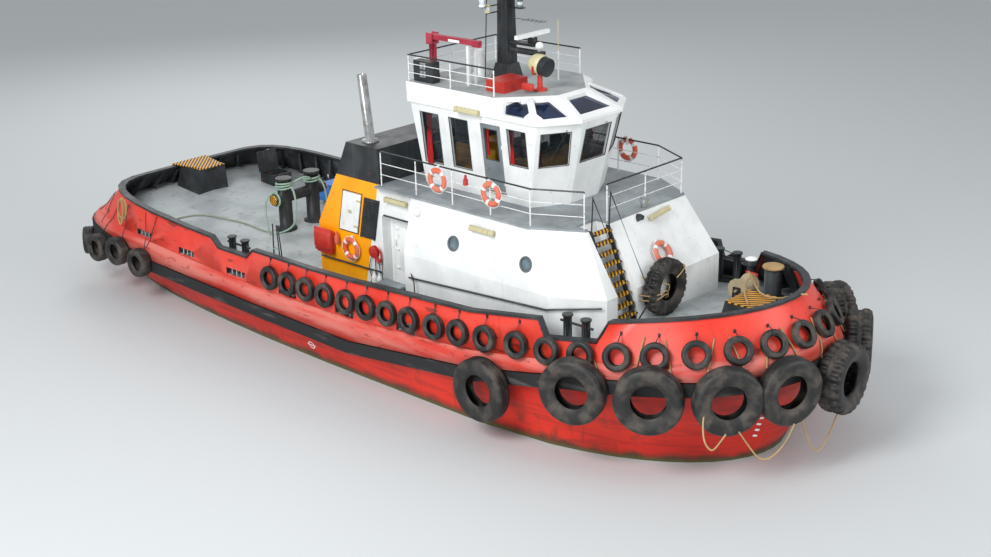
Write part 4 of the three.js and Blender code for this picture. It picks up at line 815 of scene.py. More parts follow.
casing_trim = []
outline = [(raked(x, z), -casing_side - 0.012, z) for x, z in (
    (hatch_low[0] - 0.03, hatch_low[1] - 0.03), (hatch_high[0] + 0.03, hatch_low[1] - 0.03),
    (hatch_high[0] + 0.03, hatch_high[1] + 0.03), (hatch_low[0] - 0.03, hatch_high[1] + 0.03),
)]
casing_trim.append(drawn("hatch_seal", outline, 0.018, sides=6, closed=True, smooth=False,
                         material=black_enamel))
for n in range(16):
    z = 4.05 + n * 0.078
    slat = block("slat", (-0.3, -0.035, -0.006), (0.3, 0.035, 0.006), bevel=0.003)
    tilt = Matrix.Translation((raked(0.13, z), -casing_side - 0.055, z)) @ Matrix.Rotation(math.radians(35),
                                                                                           4, "X")
    casing_trim.append(placed(slat, tilt, black_enamel))
for x0, x1 in ((-0.19, -0.17), (0.43, 0.45)):
    post = [(raked(x0, 3.97), -casing_side - 0.05, 3.97), (raked(x0, 5.3), -casing_side - 0.05, 5.3)]
    casing_trim.append(rod("louvre_post", post, 0.02, black_enamel, sides=6))
casing_trim.append(rod("casing_rail", [(-2.3, -2.9, 2.99), (-0.1, -2.9, 3.03), (0.45, -2.9, 3.05)], 0.025,
                       black_enamel))
for x in (-2.2, -1.1, -0.1, 0.4):
    casing_trim.append(rod("rail_stay", [(x, -2.9, 3.0), (x, -2.79, 2.98)], 0.015, black_enamel, sides=6))
fitted(joined(casing_trim, "casing_trim"), "hull", slot="black")

hatch_bits = [block("lever", (raked(-0.78, 4.7) - 0.07, -2.86, 4.66),
                    (raked(-0.78, 4.7) + 0.07, -2.828, 4.76))]
for z in (4.25, 5.1):
    hatch_bits.append(block("strap", (raked(-0.55, z), -2.85, z - 0.03),
                            (raked(-0.36, z), -2.828, z + 0.03)))
fitted(placed(joined(hatch_bits, "casing_hatch_furniture"), Matrix(), lamp_cream), "casing_hatch",
       slot="white")

locker = [block("shell", (-2.46, -3.1, 3.27), (-1.68, -2.79, 3.9), bevel=0.1, segments=4),
          block("seam", (-2.47, -3.02, 3.2), (-1.67, -2.98, 3.97), bevel=0.012),
          block("foot", (-2.4, -3.0, 3.14), (-1.74, -2.79, 3.3), bevel=0.02)]
for x in (-2.3, -1.85):
    locker.append(block("latch", (x - 0.03, -3.13, 3.5), (x + 0.03, -3.0, 3.62), bevel=0.012))
fitted(placed(joined(locker, "hose_locker"), Matrix(), red_enamel), "hull", slot="crimson")
float_lamp = turned("float_lamp",
                    [(0.0, 0.34), (0.04, 0.33), (0.05, 0.22), (0.075, 0.2), (0.085, 0.02), (0.06, -0.06),
                                   (0.0, -0.08)], 20)
fitted(placed(float_lamp, Matrix.Translation((-1.5, -2.92, 3.6)), buoy_orange), "hull", slot="crimson")

reel = [placed(turned("disc",
                      [(0.0, 0.14), (0.16, 0.13), (0.19, 0.11), (0.19, 0.09), (0.08, 0.08), (0.08, 0.03),
                               (0.19, 0.02), (0.19, -0.02), (0.0, -0.03)], 28),
               seat("casing", (0.13, -3.0, 3.62)), red_enamel)]
for n, radius in enumerate((0.16, 0.2, 0.24)):
    loop = [(0.36 + radius * 0.6 * math.cos(t), -2.86 - 0.03 * n, 3.56 + radius * math.sin(t))
            for t in [i * math.pi / 8 for i in range(16)]]
    reel.append(drawn("hose_turn", loop, 0.02, sides=8, closed=True, material=red_enamel))
fitted(joined(reel, "hose_reel"), "hull", slot="crimson")

bottle_profile = [(0.0, 0.74), (0.02, 0.74), (0.028, 0.66), (0.05, 0.63), (0.085, 0.58), (0.092, 0.5),
                  (0.092, 0.02),
                  (0.08, 0.0), (0.0, 0.0)]
bottles = []
for x in (0.17, 0.4):
    bottles.append(placed(turned("bottle", bottle_profile, 24), Matrix.Translation((x, -2.93, 2.28)),
                          white_enamel))
    bottles.append(placed(block("clamp", (x - 0.11, -3.03, 2.62), (x + 0.11, -2.79, 2.67)), Matrix(),
                          black_enamel))
for x, top, bend in ((0.02, 3.5, -0.12), (0.17, 3.36, 0.03), (0.3, 3.42, 0.08), (0.46, 3.5, 0.04)):
    pipe = [(x, -2.86, top), (x + bend, -2.88, 3.1), (x + bend * 0.4, -2.86, 2.75), (x + bend, -2.88, 2.35)]
    bottles.append(rod("riser_pipe", pipe, 0.014, black_enamel, sides=8))
fitted(joined(bottles, "gas_bottles"), "hull", slot="white")


# Wheelhouse: dark metal edging round each pane, wipers on the forward ones, red curtains drawn back inside,
# yellow veneered furniture, and a grey steel door each side with a handle and a sill.
edging = enamel("edging", "3e4345", "555b5e", gloss=0.4, rust=0.1, grime=0.2)
lean = {"aft": 0.26, "side": 0.28, "chamfer": 0.6, "front": 0.6}
wall_foot, wall_top = 5.8, 8.3


def rise(z):
    return (z - wall_foot) / (wall_top - wall_foot)


def chamfer_point(across, z, side):
    """A point on the slanted wall between a side and the front."""
    turn = math.radians(-60.3)
    run = Vector((math.cos(turn), math.sin(turn)))
    out = Vector((-run.y, run.x))
    spot = Vector((6.1, 1.3)) + run * across
    foot = Vector((5.5, 1.65))
    spot += out * (out.dot(foot) + lean["chamfer"] * rise(z) - out.dot(spot))
    return spot.x, side * spot.y, z


edges = []


def edged(corners, radius=0.016):
    edges.append(drawn("edge", corners, radius, sides=8, closed=True, smooth=False, material=edging))


for side in (-1, 1):
    for x0, x1, z0, z1 in ((1.4, 2.15, 6.48, 8.04), (2.58, 3.33, 6.52, 8.04), (4.86, 5.56, 6.98, 8.04)):
        edged([(x, side * (1.65 + lean["side"] * rise(z)), z) for x,
               z in ((x0, z0), (x1, z0), (x1, z1), (x0, z1))])
    edged([chamfer_point(a, z, side) for a,
           z in ((-0.45, 7.02), (0.45, 7.02), (0.45, 8.04), (-0.45, 8.04))])
    edged([(1.3 - lean["aft"] * rise(z), side * y, z) for y,
           z in ((0.25, 6.9), (1.25, 6.9), (1.25, 8.04), (0.25, 8.04))])
edged([(6.1 + lean["front"] * rise(z), y, z) for y,
       z in ((-0.56, 7.04), (0.56, 7.04), (0.56, 8.04), (-0.56, 8.04))])

wiper_ends = [((6.1 + 0.6 * rise(8.1), 0.3, 8.1), (6.1 + 0.6 * rise(7.45), -0.1, 7.45))]
for side in (-1, 1):
    wiper_ends.append((chamfer_point(0.3, 8.1, side), chamfer_point(-0.05, 7.4, side)))
for top, tip in wiper_ends:
    out = Vector((top[0] - 3.5, top[1], 0)).normalized() * 0.045
    arm = [Vector(top), Vector(top) + out, Vector(tip) + out]
    edges.append(rod("wiper_arm", arm, 0.01, black_enamel, sides=6))
    blade = (arm[2] - arm[1]).normalized()
    edges.append(rod("wiper_blade", [arm[2] - blade * 0.3, arm[2] + blade * 0.22], 0.013, black_enamel,
                     sides=6))
fitted(joined(edges, "window_edging"), "hull", slot="black")

curtain_red = Finish("curtain_red", roughness=0.95)
weave = curtain_red.spots(0.012, detail=2)
curtain_red.set("Base Color", curtain_red.mix(weave.between(0.3, 0.7), tint("a3141c"), tint("c92a2c")))
curtain_red.bump(weave, strength=0.3, depth=0.002)


def curtain(name, top, run, drop, out):
    """A cloth curtain drawn together in soft folds, hanging from top and spreading along run."""
    run, out = Vector(run), Vector(out)
    bpy.ops.object.select_all(action="DESELECT")
    bpy.ops.mesh.primitive_grid_add(x_subdivisions=48, y_subdivisions=10, size=1.0)
    made = bpy.context.object
    made.name = name
    folds = 6
    for vertex in made.data.vertices:
        across, down = vertex.co.x + 0.5, 0.5 - vertex.co.y
        pinch = 1 - 0.25 * math.sin(math.pi * min(1.0, down * 1.2))
        wave = math.sin(across * folds * 2 * math.pi + 0.4 * math.sin(5 * down))
        vertex.co = (Vector(top) + run * (across * pinch) + out * (0.03 * wave * (0.7 + 0.5 * down))
                     + Vector((0, 0, -drop * down)))
    bpy.ops.object.shade_smooth()
    made.data.materials.append(curtain_red.material)
    fitted(made, "hull", slot="crimson")


for side, name in ((-1, "starboard"), (1, "port")):
    curtain(f"aft_curtain_{name}", (1.5, side * 1.73, 8.1), (0.24, 0, 0), 1.66, (0, 1, 0))
    curtain(f"door_curtain_{name}", (3.88, side * 1.73, 8.1), (0.16, 0, 0), 1.0, (0, 1, 0))
    curtain(f"fore_curtain_{name}", (4.84, side * 1.73, 8.1), (0.16, 0, 0), 1.1, (0, 1, 0))
    start = Vector(chamfer_point(-0.5, 7.3, side))
    far = Vector(chamfer_point(-0.3, 7.3, side))
    inward = Vector((-0.868, -0.496 * side, 0)) * 0.2
    curtain(f"bow_curtain_{name}", start + inward + Vector((0, 0, 0.78)), far - start, 1.12,
            inward.normalized())

veneer = Finish("veneer", roughness=0.5)
grain = veneer.spots(0.05, stretch=(14, 1, 1), detail=6)
veneer.set("Base Color", veneer.mix(grain.between(0.35, 0.65), tint("c28a1e"), tint("e0b03a")))
veneer.bump(grain, strength=0.15, depth=0.002)
paint("console", veneer.material)
cabin = [block("settee_base", (1.55, -1.25, 5.83), (3.2, -0.55, 6.3), bevel=0.02),
         block("settee_back", (1.55, -0.62, 6.28), (3.2, -0.5, 6.85), bevel=0.03),
         block("chart_table", (1.5, 0.5, 6.2), (3.1, 1.3, 6.72), bevel=0.02),
         block("chart_table_leg", (1.6, 0.6, 5.83), (3.0, 1.2, 6.22), bevel=0.02),
         block("settee_seat", (1.56, -1.26, 6.3), (3.19, -0.63, 6.42), bevel=0.04, segments=4)]
fitted(placed(joined(cabin, "cabin_furniture"), Matrix(), veneer.material), "hull", slot="yellow")
console_trim = [block("screen", (4.5, y - 0.22, 6.92), (4.56, y + 0.22, 7.2), bevel=0.02)
                for y in (-0.7, 0.0, 0.7)]
console_trim.append(block("screen_foot", (4.48, -0.8, 6.88), (4.6, 0.8, 6.94), bevel=0.01))
fitted(placed(joined(console_trim, "console_screens"), Matrix(), black_enamel), "hull", slot="black")

door_grey = enamel("door_grey", "6d7579", "7d868a", gloss=0.45, rust=0.15, grime=0.2)
for name, side in door_levers.items():
    paint(f"wheelhouse_door_{name}", door_grey)
    face = side * (1.65 + lean["side"] * rise(6.55))
    grip = face + side * 0.05
    handle = [(3.92, face, 6.72), (3.92, grip, 6.72), (4.04, grip, 6.72)]
    handle = rod("handle", handle, 0.013, lagging.material, sides=8)
    window = [(x, side * (1.655 + lean["side"] * rise(z)), z) for x, z in (
        (3.96, 7.0), (4.47, 7.0), (4.47, 7.93), (3.96, 7.93))]
    seal = drawn("seal", window, 0.014, sides=8, closed=True, smooth=False, material=edging)
    fitted(joined([handle, seal], f"bridge_door_furniture_{name}"), f"wheelhouse_door_{name}", slot="black")
frames = []
for side in (-1, 1):
    frames.append(block("sill", (3.8, side * 1.7 - 0.05, 6.01), (4.63, side * 1.7 + 0.05, 6.055),
                        bevel=0.008))
fitted(placed(joined(frames, "bridge_door_sills"), Matrix(), edging), "hull", slot="black")

visor = [tube_lamp("visor_lamp", (3.5, side * 2.3, 8.42), (-side, 0, 0), "wheelhouse_roof")
         for side in (-1, 1)]
fitted(joined(visor, "visor_lamps"), "hull", slot="white")


# Guard rails: welded steel pipe, with white stanchions and lower bars under a top rail painted black.
# Moulded ring buoys hang on hooks on them and on the house front.
rail_paint = Finish("rail_paint")
top = rail_paint.z.between(6.815, 6.82) * (8.0 - rail_paint.z).between(0.0,
                                                                       0.01) + rail_paint.z.between(9.63,
                                                                                                    9.64)
scuffed = rail_paint.spots(0.06, detail=6).between(0.58, 0.66)
white = rail_paint.mix(scuffed * 0.6, tint("e4e6e5"), tint("8b6a50"))
black = rail_paint.mix(scuffed * 0.6, tint("202427"), tint("5a4a40"))
rail_paint.set("Base Color", rail_paint.mix(top, white, black))
rail_paint.set("Roughness", scuffed * 0.3 + 0.4)
rail_paint.bump(scuffed, strength=0.2, depth=0.003)
for node in ("boat_deck_rail_starboard", "boat_deck_rail_port", "roof_rail"):
    paint(node, rail_paint.material)

buoys = []
for x, y, z, turn in ((3.07, -2.93, 6.46, 0), (5.21, -2.96, 6.46, 20), (5.37, 2.93, 6.53, 10)):
    stand = Vector((0, math.copysign(1, y), 0)).to_track_quat("Z", "Y").to_matrix().to_4x4()
    stand = stand @ Matrix.Rotation(math.radians(turn), 4, "Z")
    buoys.append(placed(lifebuoy("rail_buoy"), Matrix.Translation((x, y, z)) @ stand))
front = seat("deckhouse", (8.9, 0.2, 4.75), right=(0, 1, 0), stand=0.1)
buoys.append(placed(lifebuoy("front_buoy"), front))
fitted(joined(buoys, "lifebuoys"), "hull", slot="crimson")
light = turned("buoy_light",
               [(0.0, 0.3), (0.035, 0.29), (0.045, 0.18), (0.07, 0.16), (0.075, 0.0), (0.0, -0.02)], 20)
fitted(placed(light, Matrix.Translation((4.14, -2.86, 6.5)), red_enamel), "hull", slot="crimson")


# Wheelhouse roof gear: a box with two square lamps, a ribbed raft canister, a tapered vent, a covered
# searchlight on a red foot, and whip aerials. Small castings and rods, bolted to the grey roof.
roof_z = 8.88
chrome = Finish("chrome", metallic=0.9)
chrome.set("Base Color", chrome.mix(chrome.spots(0.1).between(0.3, 0.7), tint("d8dadb"), tint("a9adaf")))
chrome.set("Roughness", chrome.spots(0.1) * 0.25 + 0.12)
lamp_glass = Finish("lamp_glass", roughness=0.1)
lamp_glass.set("Base Color",
               lamp_glass.mix(lamp_glass.spots(0.05).between(0.3, 0.7), tint("30383e"), tint("8d979d")))

lamp_box_low, lamp_box_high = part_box("floodlight_box")
lamp_box_middle = (lamp_box_low.x + lamp_box_high.x) / 2
square_lamps = []
for z in (9.12, 9.36):
    at = Matrix.Translation((lamp_box_middle, lamp_box_low.y, z)) @ Matrix.Rotation(math.radians(90), 4,
                                                                                    "X")
    ring = block("ring", (-0.115, -0.1, -0.01), (0.115, 0.1, 0.035), bevel=0.025, segments=3)
    bpy.ops.object.mode_set(mode="EDIT")
    bpy.ops.mesh.select_all(action="DESELECT")
    bpy.ops.object.mode_set(mode="OBJECT")
    for face in ring.data.polygons:
        face.select = face.normal.z > 0.99
    bpy.ops.object.mode_set(mode="EDIT")
    bpy.ops.mesh.inset(thickness=0.03, depth=-0.03)
    bpy.ops.object.mode_set(mode="OBJECT")
    ring.data.materials.append(chrome.material)
    ring.data.materials.append(lamp_glass.material)
    for face in ring.data.polygons:
        face.material_index = int(face.normal.z > 0.99 and face.area > 0.01 and face.center.z < 0.02)
    square_lamps.append(placed(ring, at))
fitted(joined(square_lamps, "square_lamps"), "hull", slot="steel")

# Skylight bars: a white painted steel bar covers the joint between the two slanting panes on each side of
# the roof, and lies flat on the slope.
mullions = []
for side in (-1, 1):
    ridge, eave = Vector((5.2, side * 1.285, 8.843)), Vector((5.96, side * 1.95, 8.436))
    out = Vector((0.273, side * 0.252, 0.928))
    down = (eave - ridge).normalized()
    lie = Matrix((down, out.cross(down), out)).transposed().to_4x4()
    lie.translation = (ridge + eave) / 2
    reach = (eave - ridge).length / 2
    bar = block("mullion", (-reach, -0.1, -0.06), (reach, 0.1, 0.02), bevel=0.008)
    mullions.append(placed(bar, lie, white_enamel))
fitted(joined(mullions, "skylight_mullions"), "hull", slot="white")

# Raft canister and vent: a white moulded drum with ribs stands on the roof's edge, and a tapered white
# steel vent on the middle line.
raft = [(0.0, 0.62)]
for n in range(7):
    z = 0.6 - n * 0.085
    raft += [(0.15, z), (0.175, z - 0.015), (0.175, z - 0.05), (0.15, z - 0.065)]
raft += [(0.14, 0.0), (0.0, 0.0)]
fitted(placed(turned("raft_canister", raft, 28), Matrix.Translation((0.99, -1.42, roof_z)), white_enamel),
       "hull",
       slot="white")
vent = turned("roof_vent",
              [(0.0, 0.78), (0.1, 0.77), (0.11, 0.7), (0.13, 0.5), (0.2, 0.12), (0.24, 0.06), (0.24, 0.0),
                            (0.0, 0.0)], 28)
fitted(placed(vent, Matrix.Translation((2.1, 0.0, roof_z)), white_enamel), "hull", slot="white")

# Searchlight: a black sheet metal barrel on a red cast yoke and foot, pointing forward and down. Its back
# is under a moulded cream cover held by three straps.
aim = Matrix.Translation((4.85, -0.45, 9.62)) @ Matrix.Rotation(math.radians(100), 4, "Y")
barrel = turned("barrel", [(0.0, 0.3), (0.2, 0.3), (0.24, 0.33), (0.27, 0.33), (0.27, 0.02), (0.0, 0.0)],
                32)
cover = turned("cover",
               [(0.28, 0.12), (0.295, 0.1), (0.3, -0.02), (0.27, -0.18), (0.19, -0.29), (0.08, -0.34),
                         (0.0, -0.35), (0.0, -0.3), (0.26, 0.0), (0.28, 0.12)], 32)
foot = turned("foot", [(0.0, 0.5), (0.07, 0.5), (0.08, 0.1), (0.2, 0.06), (0.2, 0.0), (0.0, 0.0)], 24)
arms = [rod("arm", [(4.85, -0.45, 9.36), (4.85, y, 9.4), (4.85, y, 9.62)], 0.03, red_enamel)
        for y in (-0.77, -0.13)]
searchlight = [placed(barrel, aim, black_enamel), placed(cover, aim, lamp_cream),
               placed(foot, Matrix.Translation((4.85, -0.45, roof_z)), red_enamel)]
searchlight.append(placed(block("coupling", (4.6, -0.98, 8.95), (5.0, -0.86, 9.16), bevel=0.04), Matrix(),
                          red_enamel))
for turn in (-30, 10, 50):
    strap = [Vector((0.3 * math.cos(t), 0.3 * math.sin(t), 0.03 - 0.05 * math.sin(2 * t)))
             for t in [math.radians(turn + n * 20) for n in range(8)]]
    searchlight.append(placed(drawn("strap", strap, 0.012, sides=6, smooth=False), aim, lamp_cream))
fitted(joined(searchlight + arms, "searchlight"), "hull", slot="black")

# Aerials: thin whips and a small beam of metal rods, and one wire stay from the mast to the roof.
# Each stands in a clamped foot.
whips = [rod("whip", [(4.4, 0.87, roof_z), (4.4, 0.87, 10.66)], 0.013, lamp_cream, sides=8),
         rod("whip_foot", [(4.4, 0.87, roof_z), (4.4, 0.87, 9.75)], 0.024, white_enamel, sides=8),
         rod("stay_wire", [(2.62, -0.36, 8.9), (2.75, -0.3, 12.45)], 0.016, black_enamel, sides=6)]
beam_z = 10.72
for n in range(5):
    x = 3.9 + n * 0.16
    whips.append(rod("beam_rod", [(x, -0.15, beam_z), (x, 0.25, beam_z)], 0.008, rim_grey, sides=6))
whips.append(rod("beam_boom", [(3.4, 0.05, beam_z), (4.62, 0.05, beam_z)], 0.012, rim_grey, sides=6))
fitted(joined(whips, "aerials"), "hull", slot="steel")

# Mast lamps: masthead and side lamps, each a clear lens in a painted housing on a short steel bracket,
# and a moulded horn on the crossbar.
lens_clear = Finish("lens_clear", roughness=0.15)
lens_clear.set("Base Color",
               lens_clear.mix(lens_clear.spots(0.03).between(0.3, 0.7), tint("dfe6ea"), tint("aab6be")))


def ship_lamp(name, at, body):
    """A navigation lamp: a finned cap over a clear lens on a round base."""
    cap = [(0.0, 0.27), (0.03, 0.27), (0.09, 0.24), (0.09, 0.22), (0.06, 0.21), (0.09, 0.2), (0.09, 0.18),
           (0.0, 0.18)]
    lens = [(0.0, 0.19), (0.07, 0.185), (0.078, 0.13), (0.07, 0.075), (0.0, 0.07)]
    base = [(0.0, 0.08), (0.095, 0.075), (0.095, 0.02), (0.06, 0.0), (0.0, 0.0)]
    parts = [placed(turned("cap", cap, 20), Matrix(), body),
             placed(turned("lens", lens, 20), Matrix(), lens_clear.material),
             placed(turned("base", base, 20), Matrix(), body)]
    return placed(joined(parts, name), Matrix.Translation(at))


mast_lamps = []
for x, y, z, body in ((3.72, 0.0, 11.05, rim_grey), (3.72, 0.0, 11.5, lamp_cream),
                      (3.72, 0.0, 11.95, rim_grey),
                      (3.0, -0.82, 11.56, white_enamel), (3.0, -0.62, 11.56, lamp_cream),
                      (3.0, 0.82, 11.56, white_enamel), (3.0, -0.82, 11.1, white_enamel),
                      (3.0, -0.6, 10.9, lamp_cream)):
    mast_lamps.append(ship_lamp("lamp", (x, y, z), body))
    if x > 3.5:
        mast_lamps.append(rod("shelf", [(3.2, y, z - 0.01), (3.85, y, z - 0.01)], 0.02, black_enamel,
                              sides=8))
        mast_lamps.append(placed(block("plate", (3.6, y - 0.12, z - 0.02), (3.84, y + 0.12, z),
                                       bevel=0.004), Matrix(),
                                 black_enamel))
for z, reach in ((11.1, 0.84), (10.9, 0.62)):
    mast_lamps.append(rod("side_arm", [(3.0, 0.0, z - 0.01), (3.0, -reach, z - 0.01)], 0.02, black_enamel,
                          sides=8))
horn = turned("horn",
              [(0.0, 0.0), (0.03, 0.0), (0.035, 0.2), (0.06, 0.3), (0.12, 0.36), (0.115, 0.37), (0.0, 0.2)],
              24)
mast_lamps.append(placed(horn,
                         Matrix.Translation((3.3, 0.25, 11.6)) @ Matrix.Rotation(math.radians(90), 4, "Y"),
                         lamp_cream))
fitted(joined(mast_lamps, "mast_lamps"), "hull", slot="steel")

# Crane boom's plate: a blank white sheet metal plate riveted to the side of the painted boom, so that it
# moves with it.
crane_plate = placed(block("boom_plate", (2.0, -1.24, 10.06), (2.45, -1.222, 10.14), bevel=0.004), Matrix(),
                     white_enamel)
fitted(crane_plate, "crane_boom", slot="white")


# Fairlead platforms, aft and on the foredeck: raked boxes of black steel plate welded to the deck, under
# steel gratings painted with slanting yellow and black stripes.
def hazard(name, top, slant, period):
    """Black steel whose faces above top are yellow grating with black stripes running on a slant."""
    made = Finish(name)
    band = (made.x + made.y * slant) * (1 / period)
    stripe = band.maths("FRACT", 0.0).between(0.5, 0.56)
    worn = made.spots(0.3, detail=5).between(0.58, 0.72)
    grate = made.mix(stripe, tint("1c1d1e"), tint("e8a423"))
    grate = made.mix(worn * 0.35, grate, tint("5d4a30"))
    plain = made.mix(made.spots(0.5, detail=5).between(0.35, 0.7), tint("25282a"), tint("3d4144"))
    made.set("Base Color", made.mix(made.z.between(top - 0.005, top), plain, grate))
    made.set("Roughness", worn * 0.2 + 0.55)
    mesh = made.spots(0.03, detail=2)
    made.bump(stripe + mesh, strength=0.5, depth=0.01)
    return made.material


aft_box, fore_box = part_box("aft_platform"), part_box("fore_platform")
paint("aft_platform", hazard("aft_grating", aft_box[1].z - 0.035, 1.0, 0.16))
paint("fore_platform", hazard("fore_grating", fore_box[1].z - 0.035, -1.0, 0.2))

hemp = enamel("hemp", "b79a6c", "a08458", gloss=0.9, rust=0.0, grime=0.35, grime_code="6b5a40")

# Ropes on the towing posts: turns of pale green fibre rope, thrown over the posts and the crossbar by hand
# and pulled tight, with their ends hanging to the deck.
post_x, post_y = -6.85, 0.62
turn_radius, line_radius = 0.275, 0.034
bitt_rope = enamel("bitt_rope", "8fb0a0", "a9c2b4", gloss=0.85, rust=0.0, grime=0.4, grime_code="6e7d70")
turns = []
for side, heights in ((-1, (3.86, 3.93, 4.0)), (1, (3.86, 3.93))):
    for n, z in enumerate(heights):
        loop = [(post_x + turn_radius * math.cos(t), side * post_y + turn_radius * math.sin(t),
                 z + 0.03 * math.sin(t + n))
                for t in [i * math.pi / 10 for i in range(20)]]
        turns.append(drawn("rope_turn", loop, line_radius, sides=10, closed=True, material=bitt_rope))
bar_loop = [(post_x + 0.23 * math.cos(t), -1.02, 3.48 + 0.23 * math.sin(t))
            for t in [i * math.pi / 8 for i in range(16)]]
turns.append(drawn("bar_turn", bar_loop, line_radius, sides=10, closed=True, material=bitt_rope))
for way in (
    [(-6.6, -0.55, 3.9), (-6.48, -0.5, 3.8), (-6.42, -0.48, 3.2), (-6.44, -0.55, 2.6), (-6.55, -0.85, 2.36),
     (-6.75, -1.3, 2.3)],
    [(-6.9, -1.0, 3.74), (-6.92, -1.3, 3.7), (-6.95, -1.42, 3.3), (-6.9, -1.45, 2.8), (-6.8, -1.42, 2.33)],
    [(-6.72, -0.36, 3.96), (-6.6, 0.0, 4.12), (-6.55, 0.3, 4.05), (-6.6, 0.4, 3.95)],
    [(-6.58, 0.75, 3.9), (-6.46, 0.85, 3.7), (-6.42, 0.9, 3.1), (-6.5, 0.95, 2.5), (-6.7, 1.1, 2.36)],
):
    turns.append(drawn("rope_fall", way, line_radius, sides=10, material=bitt_rope))
fitted(joined(turns, "bitt_rope_turns"), "hull", slot="rope")

# Crossbar caps: a steel disc welded on each end of the towing posts' crossbar, painted with yellow and
# black stripes.
end_stripes = Finish("end_stripes", roughness=0.5)
band = ((end_stripes.x + end_stripes.z) * 9.0).maths("FRACT", 0.0).between(0.5, 0.56)
end_stripes.set("Base Color", end_stripes.mix(band, tint("1c1d1e"), tint("f2b01e")))
caps = []
for side in (-1, 1):
    cap = turned("bar_cap", [(0.0, 0.03), (0.17, 0.028), (0.185, 0.015), (0.185, -0.02), (0.0, -0.02)], 28)
    stand = Matrix.Translation((post_x, side * 1.13, 3.48)) @ Matrix.Rotation(math.radians(-90 * side), 4,
                                                                              "X")
    caps.append(placed(cap, stand, end_stripes.material))
fitted(joined(caps, "bar_end_caps"), "hull", slot="yellow")

# Mushroom vents: each a black steel pipe welded to the deck under a spun hood, its top painted white.
# One stands near the stern, one by the bitts, one on the foredeck.
hood = [(0.0, 0.98), (0.1, 0.97), (0.19, 0.92), (0.22, 0.84), (0.22, 0.78), (0.12, 0.78), (0.12, 0.0),
        (0.0, 0.0)]
vents = []
for x, y in ((-12.1, 2.95), (-6.3, 3.55), (9.9, 3.0)):
    vents.append(placed(turned("vent", hood, 28), Matrix.Translation((x, y, deck_height(x, y))),
                        black_enamel))
    cap = turned("cap", [(0.0, 1.0), (0.1, 0.99), (0.18, 0.95), (0.18, 0.92), (0.0, 0.94)], 28)
    vents.append(placed(cap, Matrix.Translation((x, y, deck_height(x, y))), white_enamel))
fitted(joined(vents, "mushroom_vents"), "hull", slot="black")

# Boat hooks: three painted poles that lean on the bulwark on the starboard side, tied to it by two turns
# of thin rope.
hooks = []
for x0, x1 in ((-3.3, -3.34), (-3.05, -2.8), (-3.12, -2.95)):
    foot = deck_height(x1, -4.0)
    hooks.append(rod("boat_hook", [(x0, -4.0, 4.1), (x1, -4.02, foot + 0.02)], 0.022, black_enamel,
                     sides=8))
for x, y, z in ((-3.2, -4.0, 3.3), (-3.18, -4.0, 2.95)):
    tie = [(x + 0.17 * math.cos(t), y + 0.05 * math.sin(t), z)
           for t in [i * math.pi / 6 for i in range(12)]]
    hooks.append(drawn("hook_tie", tie, 0.014, sides=6, closed=True, material=bitt_rope))
fitted(joined(hooks, "boat_hooks"), "hull", slot="black")

# Hung coil: old hemp rope in three turns, hung over the starboard bulwark near the stern by hand, its
# turns lying on one another.
coil = []
for n, (reach, fall,
        middle) in enumerate(((0.19, 0.4, -10.98), (0.24, 0.34, -10.86), (0.15, 0.44, -10.93))):
    loop = []
    for step in range(20):
        t = step * math.pi / 10
        low = 0.5 - 0.5 * math.cos(t)
        loop.append((middle + reach * math.sin(t), -4.47 - 0.1 * low - 0.045 * n,
                     3.56 - fall * (1 - math.cos(t))))
    coil.append(drawn("coil_turn", loop, 0.03, sides=8, closed=True, material=hemp))
fitted(joined(coil, "hung_coil"), "hull", slot="rope")

# Tarpaulin: one sheet of blue coated cloth over a grey steel deck box abreast of the casing. It lies on
# the lid and falls in folds to the deck.
tarp_blue = Finish("tarp_blue", roughness=0.55)
creases = tarp_blue.spots(0.18, stretch=(1, 1, 2.5), detail=6)
tarp_blue.set("Base Color", tarp_blue.mix(creases.between(0.35, 0.65), tint("1c5fb0"), tint("3f86cf")))
tarp_blue.bump(creases, strength=0.6, depth=0.02)
box_x, box_y, box_floor, box_lid = (-8.4, -7.2), (2.3, 3.2), deck_height(-7.8, 2.75), 3.05
locker = placed(block("deck_box", (box_x[0] + 0.05, box_y[0] + 0.05, box_floor - 0.02),
                      (box_x[1] - 0.05, box_y[1] - 0.05, box_lid - 0.03), bevel=0.02), Matrix(), rim_grey)
fitted(locker, "hull", slot="deck_grey")
bpy.ops.object.select_all(action="DESELECT")
bpy.ops.mesh.primitive_grid_add(x_subdivisions=60, y_subdivisions=60, size=1.0)
tarp = bpy.context.object
tarp.name = "blue_tarpaulin"
drop = box_lid - box_floor - 0.12
middle = Vector(((box_x[0] + box_x[1]) / 2, (box_y[0] + box_y[1]) / 2))
half = Vector(((box_x[1] - box_x[0]) / 2, (box_y[1] - box_y[0]) / 2))
tarp_size = (2 * (half.x + drop), 2 * (half.y + drop))
for vertex in tarp.data.vertices:
    flat = Vector((vertex.co.x * tarp_size[0], vertex.co.y * tarp_size[1]))
    over = Vector((max(0.0, abs(flat.x) - half.x), max(0.0, abs(flat.y) - half.y)))
    fallen = min(drop, max(over.x, over.y) + 0.35 * min(over.x, over.y))
    fold = 0.035 * math.sin(9 * flat.x) * math.cos(8 * flat.y) * min(1.0, fallen * 2)
    slack = 0.14 * min(over.x, over.y) + 0.06 * fallen + fold
    edge = Vector((math.copysign(min(abs(flat.x), half.x), flat.x),
                   math.copysign(min(abs(flat.y), half.y), flat.y)))
    push = Vector((math.copysign(slack if over.x > 0 else 0, flat.x),
                   math.copysign(slack if over.y > 0 else 0, flat.y)))
    sag = -0.015 * math.sin(5 * flat.x) * math.sin(6 * flat.y) if fallen == 0 else 0
    vertex.co = (middle.x + edge.x + push.x, middle.y + edge.y + push.y, box_lid + sag - fallen)
bpy.ops.object.shade_smooth()
tarp.data.materials.append(tarp_blue.material)
